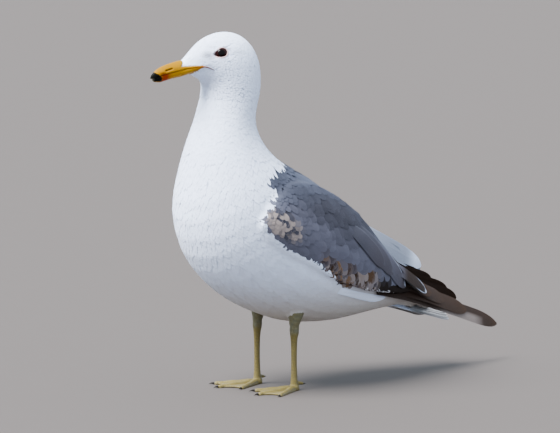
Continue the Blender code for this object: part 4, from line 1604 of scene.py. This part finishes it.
def make_bill():
    finish = keratin_finish("bill_sheath", 0.02, 260.0)
    make_rictus(finish)
    for name in BILLS:
        upper = name == "bill_upper"
        surface = Surface(*moulded((name,), BILL_VOXEL, BILL_SMOOTHING))
        points = surface.points
        ahead, _, up = Head.measures(points)
        shown = smooth_step(bare_depth(points), *SHEATH_EDGE)
        grow = SHEATH_RISE * shown
        if upper:
            grow = grow - NOSTRIL_DEPTH * nostril_depth(ahead, up)
        points = points + surface.normals * grow[:, None]
        core = Head.skull + Head.ahead * ahead[:, None] + UP * BILL_CORE_UP
        points = mix(points, core, TUCKED_UNDER * (1 - shown))
        # painted shade on the upward faces, against the light they get
        lit = smooth_step(surface.normals[:, 2], 0.1, 0.9)[:, None]
        tone = bill_tone(points, upper) * (1 - PAINTED_TOP_SHADE * lit)
        make_piece(name + "_sheath", points, surface.faces, finish, "bill_horn", (name,),
                   tone=tone)


RICTUS_POINTS, RICTUS_LIFT = 30, 0.4
RICTUS_ROUNDS, RICTUS_SLIMMING = 6, 0.45
BESIDE_HEAD, RAY_LENGTH = 40.0, 60.0
CORNER_RED = (0.35, 0.22, 0.5)  # the mouth's corner beside the gape's own colour


def ring_faces(rings, around, closed):
    """Quads between rings of points, one ring after another."""
    count = rings if closed else rings - 1
    first = np.arange(count)[:, None] * around
    after = (np.arange(count)[:, None] + 1) % rings * around
    here, turned = np.arange(around)[None], (np.arange(around)[None] + 1) % around
    corners = (first + here, after + here, after + turned, first + turned)
    return np.stack(corners, axis=2).reshape(-1, 4)


def tube_points(line, outward, radius, around):
    """Rings of points round a line."""
    ahead = unit(np.gradient(line, axis=0))
    outward = flatten(outward, ahead)
    sideways = np.cross(ahead, outward)
    turns = np.linspace(0, 2 * math.pi, around, endpoint=False)[None, :, None]
    way = outward[:, None] * np.cos(turns) + sideways[:, None] * np.sin(turns)
    return (line[:, None] + way * radius[:, None, None]).reshape(-1, 3)


def make_rictus(finish):
    """The fleshy edge of the mouth, from the bill's end down to the mouth's corner."""
    (gape,) = colours("gull_bare", "gape")
    red = gape * CORNER_RED
    stops = np.array(RICTUS)
    share = np.linspace(0, len(stops) - 1, RICTUS_POINTS)
    ahead, up = (np.interp(share, np.arange(len(stops)), column) for column in stops.T)
    for side, sign in SIDES:
        starts = Head.skull + Head.ahead * ahead[:, None] + UP * up[:, None]
        starts = starts + Head.leftward * (BESIDE_HEAD * sign)
        inward = Vector(-Head.leftward * sign)
        tree = outline().tree
        hits = [tree.ray_cast(Vector(start), inward, RAY_LENGTH) for start in starts]
        normals = np.array([hit[1][:] for hit in hits])
        line = np.array([hit[0][:] for hit in hits]) + normals * RICTUS_LIFT
        even_out(line, RICTUS_ROUNDS)
        place = np.linspace(0, 1, RICTUS_POINTS)
        radius = (1 - RICTUS_SLIMMING * place) * np.sqrt(1 - place**8 * 0.99)
        radius = radius * size_of("mouth_edge")
        points = tube_points(line, normals, radius, LID_SIDES)
        tone = np.repeat(mix(gape, red, smooth_step(place, 0.1, 0.45)), LID_SIDES, axis=0)
        faces = ring_faces(RICTUS_POINTS, LID_SIDES, False)
        make_piece("rictus_" + side, points, faces, finish, "bill_horn", tone=tone)


# ---- Eyes ------------------------------------------------------------------------------

EYE_SEGMENTS, EYE_RINGS = 64, 40
PUPIL, IRIS = math.radians(24), math.radians(52)
CORNEA_RISE, CORNEA_FROM = 0.35, 0.25
LID_POINTS, LID_SIDES = 72, 10
LID_OUT, LID_OFF = 1.04, 0.3  # the ring's size beside the almond, and off the ball
LID_FOLDS, LID_FOLD_DEPTH, LID_LOW_MORE = 9, 0.12, 0.15


def eye_finish():
    finish = Finish("eye")
    streaks = finish.noise(1500.0, 3.0)
    colour = finish.scaled(finish.attribute("tone"), 0.6 + streaks * 0.8)
    return finish.close({"Base Color": colour, "Roughness": 0.12, "Specular IOR Level": 0.08})


def lid_finish():
    finish = Finish("lid")
    grain = finish.noise(1800.0, 3.0)
    colour = finish.scaled(finish.attribute("tone"), 0.8 + grain * 0.35)
    values = {"Base Color": colour, "Roughness": 0.5, "Normal": finish.bump(grain, 0.1 * MM)}
    return finish.close(values)


def make_eyes():
    iris, pupil, lid = colours("gull_bare", "eye", "pupil", "lid")
    shiny, soft = eye_finish(), lid_finish()
    for (side, _), opening in zip(SIDES, OPENINGS):
        ball = bmesh.new()
        bmesh.ops.create_uvsphere(
            ball, u_segments=EYE_SEGMENTS, v_segments=EYE_RINGS, radius=1.0
        )
        turn = Vector(opening.outward).to_track_quat("Z", "Y")
        bmesh.ops.rotate(ball, verts=ball.verts, matrix=turn.to_matrix())
        bmesh.ops.triangulate(ball, faces=ball.faces)
        away = unit(np.array([v.co[:] for v in ball.verts]))
        faces = np.array([[v.index for v in f.verts] for f in ball.faces])
        ball.free()
        angle = np.arccos(np.clip(away @ opening.outward, -1, 1))
        radius = EYE_RADIUS + CORNEA_RISE * (1 - smooth_step(angle, CORNEA_FROM, IRIS))
        points = opening.centre + away * radius[:, None]
        tone = mix(pupil, iris, smooth_step(angle, PUPIL * 0.94, PUPIL * 1.06))
        tone = mix(tone, iris * 0.3, smooth_step(angle, IRIS * 0.85, IRIS))
        make_piece("eyeball_" + side, points, faces, shiny, "eye", ("eye_" + side,), tone=tone)
        make_lid(side, opening, soft, lid)


def make_lid(side, opening, finish, colour):
    """The fleshy ring along the almond, a little uneven and thicker below."""
    turns = np.linspace(0, 2 * math.pi, LID_POINTS, endpoint=False)
    edge = np.array([opening.edge(turn, LID_OUT) for turn in turns])
    line = opening.centre + edge * (EYE_RADIUS + LID_OFF)
    folds = LID_FOLD_DEPTH * np.sin(turns * LID_FOLDS)
    tube = size_of("lid_ring") * (1 + folds - LID_LOW_MORE * np.sin(turns))
    points = tube_points(line, line - opening.centre, tube, LID_SIDES)
    faces = ring_faces(LID_POINTS, LID_SIDES, True)
    tone = np.broadcast_to(colour, points.shape)
    make_piece("lid_ring_" + side, points, faces, finish, "eye", tone=tone)


# ---- Legs ------------------------------------------------------------------------------

LEG_VOXEL, LEG_SMOOTHING = 0.7, 5
SCUTES_FROM, SCUTES_TO = (8.0, 11.0), (54.0, 57.0)  # heights between which shanks have them
TOES_OVER, TOES_UNDER, WEB_UNDER = (2.0, 2.8), (5.0, 7.0), (1.6, 2.4)
LEG_RISE, KNOB_RISE, KNOBS_FROM = 0.2, 0.3, (50.0, 58.0)
HOCK_TOP, HOCK_LOW, HOCK_BLEND = 76.0, 52.0, 6.0


def leg_finish():
    """Scaly skin: small rounded plates with darker seams."""
    finish = Finish("leg_skin")
    plates = finish.add("ShaderNodeTexVoronoi", {"feature": "DISTANCE_TO_EDGE"},
                        {"Vector": finish.place(), "Scale": 620.0})
    seam = plates.between(0.0, 0.16)
    stain = finish.noise(90.0, 4.0)
    colour = finish.scaled(finish.attribute("tone"), 0.62 + seam * 0.3 + stain * 0.28)
    values = {
        "Base Color": colour,
        "Roughness": 0.55,
        "Coat Weight": 0.1,
        "Coat Roughness": 0.4,
        "Normal": finish.bump(seam + stain * 0.4, 0.22 * MM),
    }
    return finish.close(values)


def groove(run, spacing):
    """0 on a plate and 1 in the seam between two."""
    phase = np.abs((run / spacing) % 1.0 - 0.5) * 2
    return smooth_step(phase, 0.72, 1.0)


def make_legs():
    leg, hock, shade, white = colours("gull_bare", "leg", "hock", "leg_shade", "down")
    finish = leg_finish()
    scute, toe_scute, depth = map(size_of, ("scute", "toe_scute", "scute_depth"))
    for side, _ in SIDES:
        nodes = tuple(part + side for part in ("tibia_", "tarsus_", "foot_"))
        surface = Surface(*moulded(nodes, LEG_VOXEL, LEG_SMOOTHING))
        points, normals = surface.points, surface.normals
        middle = to_work(box_middle("tarsus_" + side))
        height = points[:, 2]
        reach = np.hypot(points[:, 0] - middle[0], points[:, 1] - middle[1])
        front = smooth_step(-normals[:, 1], 0.1, 0.6)
        shank = smooth_step(height, *SCUTES_FROM) * fade(height, *SCUTES_TO)
        toes = fade(height, *TOES_UNDER) * smooth_step(normals[:, 2], 0.3, 0.7)
        toes = toes * smooth_step(height, *TOES_OVER)
        cut = groove(height + 0.4 * np.abs(points[:, 0] - middle[0]), scute) * front * shank
        cut = cut + groove(reach, toe_scute) * toes
        knob = 0.5 * np.sin(height * 1.1 + points[:, 0]) * smooth_step(height, *KNOBS_FROM)
        grow = LEG_RISE + KNOB_RISE * knob - depth * cut
        points = points + normals * grow[:, None]
        points[:, 2] = np.maximum(points[:, 2], 0.0)
        blotch = 0.75 + 0.25 * np.sin(height * 0.9) * np.sin(points[:, 0] * 1.1 + height * 0.3)
        hocks = smooth_step(height, HOCK_LOW, HOCK_LOW + HOCK_BLEND)
        tone = mix(leg, hock, hocks * blotch)
        tone = mix(tone, shade, 0.6 * smooth_step(normals[:, 1], -0.2, 0.8))
        tone = mix(tone, leg * 0.8, fade(height, *WEB_UNDER))
        tone = mix(tone, shade * 0.5, cut * 0.5)
        tone = mix(tone, white, smooth_step(height, HOCK_TOP - 1.0, HOCK_TOP + 1.0))
        make_piece("leg_" + side, points, surface.faces, finish, "leg_skin", nodes, tone=tone)


CLAWS = ("inner", "middle", "outer", "hind")
CLAW_VOXEL, CLAW_SMOOTHING = 0.3, 4


def make_claws():
    (claw,) = colours("gull_bare", "claw")
    finish = keratin_finish("claw_sheath", 0.1, 700.0)
    for side, _ in SIDES:
        nodes = tuple(f"claw_{side}_{toe}" for toe in CLAWS)
        points, faces = as_one([moulded((n,), CLAW_VOXEL, CLAW_SMOOTHING) for n in nodes])
        tone = np.broadcast_to(claw, points.shape)
        make_piece("claws_" + side, points, faces, finish, "claw_horn", nodes, tone=tone)


# ---- Stage -----------------------------------------------------------------------------

FLOOR_HALF, VIEW_DISTANCE, VIEW_END = 60.0, 10.0, 200.0  # in metres
VIEW_SENSOR, VIEW_LENS = 36.0, 675.0  # in the camera's own millimetres
VIEW_AZIMUTH, VIEW_HEIGHT = math.radians(50), math.radians(8)
VIEW_AIM = (7.14, 163.3, 36.0)  # right, up and back from the ground point
KEY_SPREAD, KEY_COLOUR = math.radians(35), (0.97, 0.98, 1.0)


def make_floor(look):
    half = FLOOR_HALF
    mesh = bpy.data.meshes.new("floor")
    corners = [(-half, -half, 0), (half, -half, 0), (half, half, 0), (-half, half, 0)]
    mesh.from_pydata(corners, [], [(0, 1, 2, 3)])
    floor = placed("floor", mesh)
    finish = Finish("floor")
    grain = finish.noise(30.0, 3.0)
    colour = finish.scaled(tuple(look.floor), 0.98 + grain * 0.04)
    mesh.materials.append(finish.close({"Base Color": colour, "Roughness": 0.9}))


def make_light(look):
    world = bpy.data.worlds.new("studio")
    world.use_nodes = True
    sky = world.node_tree.nodes["Background"].inputs
    sky["Color"].default_value = (*look.sky, 1.0)
    sky["Strength"].default_value = look.sky_strength
    bpy.context.scene.world = world
    sun = bpy.data.lights.new("soft_key", "SUN")
    sun.energy = look.key_strength
    sun.angle = KEY_SPREAD
    sun.color = KEY_COLOUR
    lamp = placed("soft_key", sun)
    lamp.rotation_euler = Vector(look.key_from).to_track_quat("Z", "Y").to_euler()


def make_camera():
    azimuth, height = VIEW_AZIMUTH, VIEW_HEIGHT
    right = np.array((math.cos(azimuth), math.sin(azimuth), 0.0))
    back = np.array((math.sin(azimuth) * math.cos(height),
                     -math.cos(azimuth) * math.cos(height), math.sin(height)))
    upward = np.cross(back, right)
    aim = to_frame(right * VIEW_AIM[0] + upward * VIEW_AIM[1] + back * VIEW_AIM[2])
    lens = bpy.data.cameras.new("camera")
    lens.sensor_width = VIEW_SENSOR
    lens.lens = VIEW_LENS
    lens.clip_end = VIEW_END
    camera = placed("camera", lens)
    turn = Matrix((right, upward, back)).transposed().to_4x4()
    camera.matrix_world = Matrix.Translation(Vector(aim + back * VIEW_DISTANCE)) @ turn
    bpy.context.scene.camera = camera


def make_stage():
    look = bpy.context.scene.gull_stage
    make_floor(look)
    make_light(look)
    make_camera()


def colour_property(name, description, default):
    return FloatVectorProperty(
        name=name, description=description, default=default, min=0.0, max=1.0,
        size=3, subtype="COLOR",
    )


def length_property(name, description, millimetres):
    return FloatProperty(
        name=name, description=description, default=millimetres * MM, min=0.0,
        precision=5, unit="LENGTH",
    )


def share_property(name, description):
    return FloatProperty(
        name=name, description=description, default=1.0, min=0.5, max=2.0,
        subtype="FACTOR",
    )


class GullSizes(bpy.types.PropertyGroup):
    """Sizes of feathers, scutes, lids and mouth."""

    feather_length: share_property("Feather length", "Length of the coat's feathers")
    feather_width: share_property("Feather width", "Width of the coat's feathers")
    barb_spacing: length_property("Barb spacing", "From one barb of a vane to the next", 0.55)
    scute: length_property("Scute", "Height of a plate on the shank", 3.4)
    toe_scute: length_property("Toe scute", "Length of a plate on a toe", 2.6)
    scute_depth: length_property("Scute depth", "Depth of the seams between plates", 0.3)
    lid_ring: length_property("Lid ring", "Radius of the ring round the eye", 0.48)
    mouth_edge: length_property("Mouth edge", "Radius of the mouth's fleshy edge", 0.66)


class GullPlumage(bpy.types.PropertyGroup):
    """Colours of the feathers."""

    # White is tinted blue as painted light, for the sky's light on the plumage.
    white: colour_property("White", "Head, breast and belly", (0.71, 0.80, 1.0))
    # Grey is the wings' slate as painted light: lighter and bluer where the back faces the sky.
    grey: colour_property("Grey", "Upper back", (0.076, 0.086, 0.122))
    slate: colour_property("Slate", "Wing coverts", (0.043, 0.0435, 0.058))
    tan: colour_property("Tan", "Palest of the worn coverts", (0.130, 0.076, 0.042))
    brown: colour_property("Brown", "Darkest of the worn coverts", (0.030, 0.016, 0.009))
    pale: colour_property("Pale", "Rims and flecks of the worn coverts", (0.24, 0.20, 0.185))
    black: colour_property("Black", "Primaries", (0.022, 0.015, 0.0125))


class GullBare(bpy.types.PropertyGroup):
    """Colours of bill, eyes and legs."""

    lid: colour_property("Lid", "Ring round the eye", (0.55, 0.38, 0.36))
    eye: colour_property("Eye", "Iris", (0.010, 0.0022, 0.0022))
    pupil: colour_property("Pupil", "Pupil", (0.0015, 0.0008, 0.0008))
    bill: colour_property("Bill", "Most of the bill", (0.31, 0.145, 0.0))
    bill_base: colour_property("Bill base", "Top of the bill's base", (0.28, 0.17, 0.005))
    bill_spot: colour_property("Bill spot", "Patch on the lower bill", (0.20, 0.022, 0.0))
    bill_band: colour_property("Bill band", "Dark band near the tip", (0.003, 0.003, 0.002))
    horn: colour_property("Horn", "The bill's very tip", (0.20, 0.18, 0.12))
    gape: colour_property("Gape", "Mouth edges", (0.20, 0.055, 0.004))
    leg: colour_property("Leg", "Shank, toes and webs", (0.135, 0.100, 0.014))
    hock: colour_property("Hock", "Round the hock", (0.105, 0.104, 0.058))
    leg_shade: colour_property("Leg shade", "Back of the legs", (0.045, 0.035, 0.003))
    down: colour_property("Down", "Skin under the thigh feathers", (0.6, 0.6, 0.58))
    claw: colour_property("Claw", "Claws", (0.02, 0.017, 0.014))


class GullStage(bpy.types.PropertyGroup):
    """Floor and light."""

    floor: colour_property("Floor", "Floor colour", (0.0455, 0.0365, 0.0320))
    sky: colour_property("Sky", "Light from all round", (0.75, 0.86, 1.0))
    sky_strength: FloatProperty(
        name="Sky strength", description="Strength of the light from all round",
        default=2.1, min=0.0,
    )
    key_strength: FloatProperty(
        name="Key strength", description="Strength of the soft key light", default=20.0,
        min=0.0,
    )
    key_from: FloatVectorProperty(
        name="Key from", description="Where the key light stands",
        default=(-0.1, -0.75, 1.15), subtype="DIRECTION",
    )


class GULL_OT_skin(bpy.types.Operator):
    """One skin over head, neck, trunk and wings, with lids."""

    bl_idname = "gull.skin"
    bl_label = "Skin"

    def execute(self, context):
        make_skin()
        return {"FINISHED"}


class GULL_OT_coat(bpy.types.Operator):
    """The coat of feathers over the skin."""

    bl_idname = "gull.coat"
    bl_label = "Coat"

    def execute(self, context):
        make_coat()
        return {"FINISHED"}


class GULL_OT_wing_quills(bpy.types.Operator):
    """Primaries and tertials of both folded wings."""

    bl_idname = "gull.wing_quills"
    bl_label = "Wing quills"

    def execute(self, context):
        make_wing_quills()
        return {"FINISHED"}


class GULL_OT_tail(bpy.types.Operator):
    """The twelve tail feathers."""

    bl_idname = "gull.tail"
    bl_label = "Tail"

    def execute(self, context):
        make_tail()
        return {"FINISHED"}


class GULL_OT_bill(bpy.types.Operator):
    """Upper and lower bill with the nostrils."""

    bl_idname = "gull.bill"
    bl_label = "Bill"

    def execute(self, context):
        make_bill()
        return {"FINISHED"}


class GULL_OT_eyes(bpy.types.Operator):
    """Eyeballs and the rings of the lids."""

    bl_idname = "gull.eyes"
    bl_label = "Eyes"

    def execute(self, context):
        make_eyes()
        return {"FINISHED"}


class GULL_OT_legs(bpy.types.Operator):
    """Shanks, toes and webs with their scutes."""

    bl_idname = "gull.legs"
    bl_label = "Legs"

    def execute(self, context):
        make_legs()
        return {"FINISHED"}


class GULL_OT_claws(bpy.types.Operator):
    """Claws of both feet."""

    bl_idname = "gull.claws"
    bl_label = "Claws"

    def execute(self, context):
        make_claws()
        return {"FINISHED"}


class GULL_OT_stage(bpy.types.Operator):
    """Floor, light and camera."""

    bl_idname = "gull.stage"
    bl_label = "Stage"

    def execute(self, context):
        make_stage()
        return {"FINISHED"}


OPERATORS = (
    GULL_OT_skin, GULL_OT_coat, GULL_OT_wing_quills, GULL_OT_tail, GULL_OT_bill,
    GULL_OT_eyes, GULL_OT_legs, GULL_OT_claws, GULL_OT_stage,
)
SETTINGS = {
    "gull_sizes": GullSizes, "gull_plumage": GullPlumage, "gull_bare": GullBare,
    "gull_stage": GullStage,
}


class GULL_PT_panel(bpy.types.Panel):
    """Lists the pieces of the gull."""

    bl_label = "Gull"
    bl_idname = "GULL_PT_panel"
    bl_space_type = "VIEW_3D"
    bl_region_type = "UI"
    bl_category = "Gull"

    def draw(self, context):
        for operator in OPERATORS:
            self.layout.operator(operator.bl_idname)


def register():
    for kind in (*SETTINGS.values(), *OPERATORS, GULL_PT_panel):
        bpy.utils.register_class(kind)
    for name, kind in SETTINGS.items():
        setattr(bpy.types.Scene, name, PointerProperty(type=kind))


def unregister():
    for name in SETTINGS:
        delattr(bpy.types.Scene, name)
    for kind in (*SETTINGS.values(), *OPERATORS, GULL_PT_panel):
        bpy.utils.unregister_class(kind)


def plain(box):
    return [list(map(float, corner)) for corner in box]


def main():
    register()
    for operator in OPERATORS:
        group, name = operator.bl_idname.split(".")
        getattr(getattr(bpy.ops, group), name)()


if __name__ == "__main__":
    main()
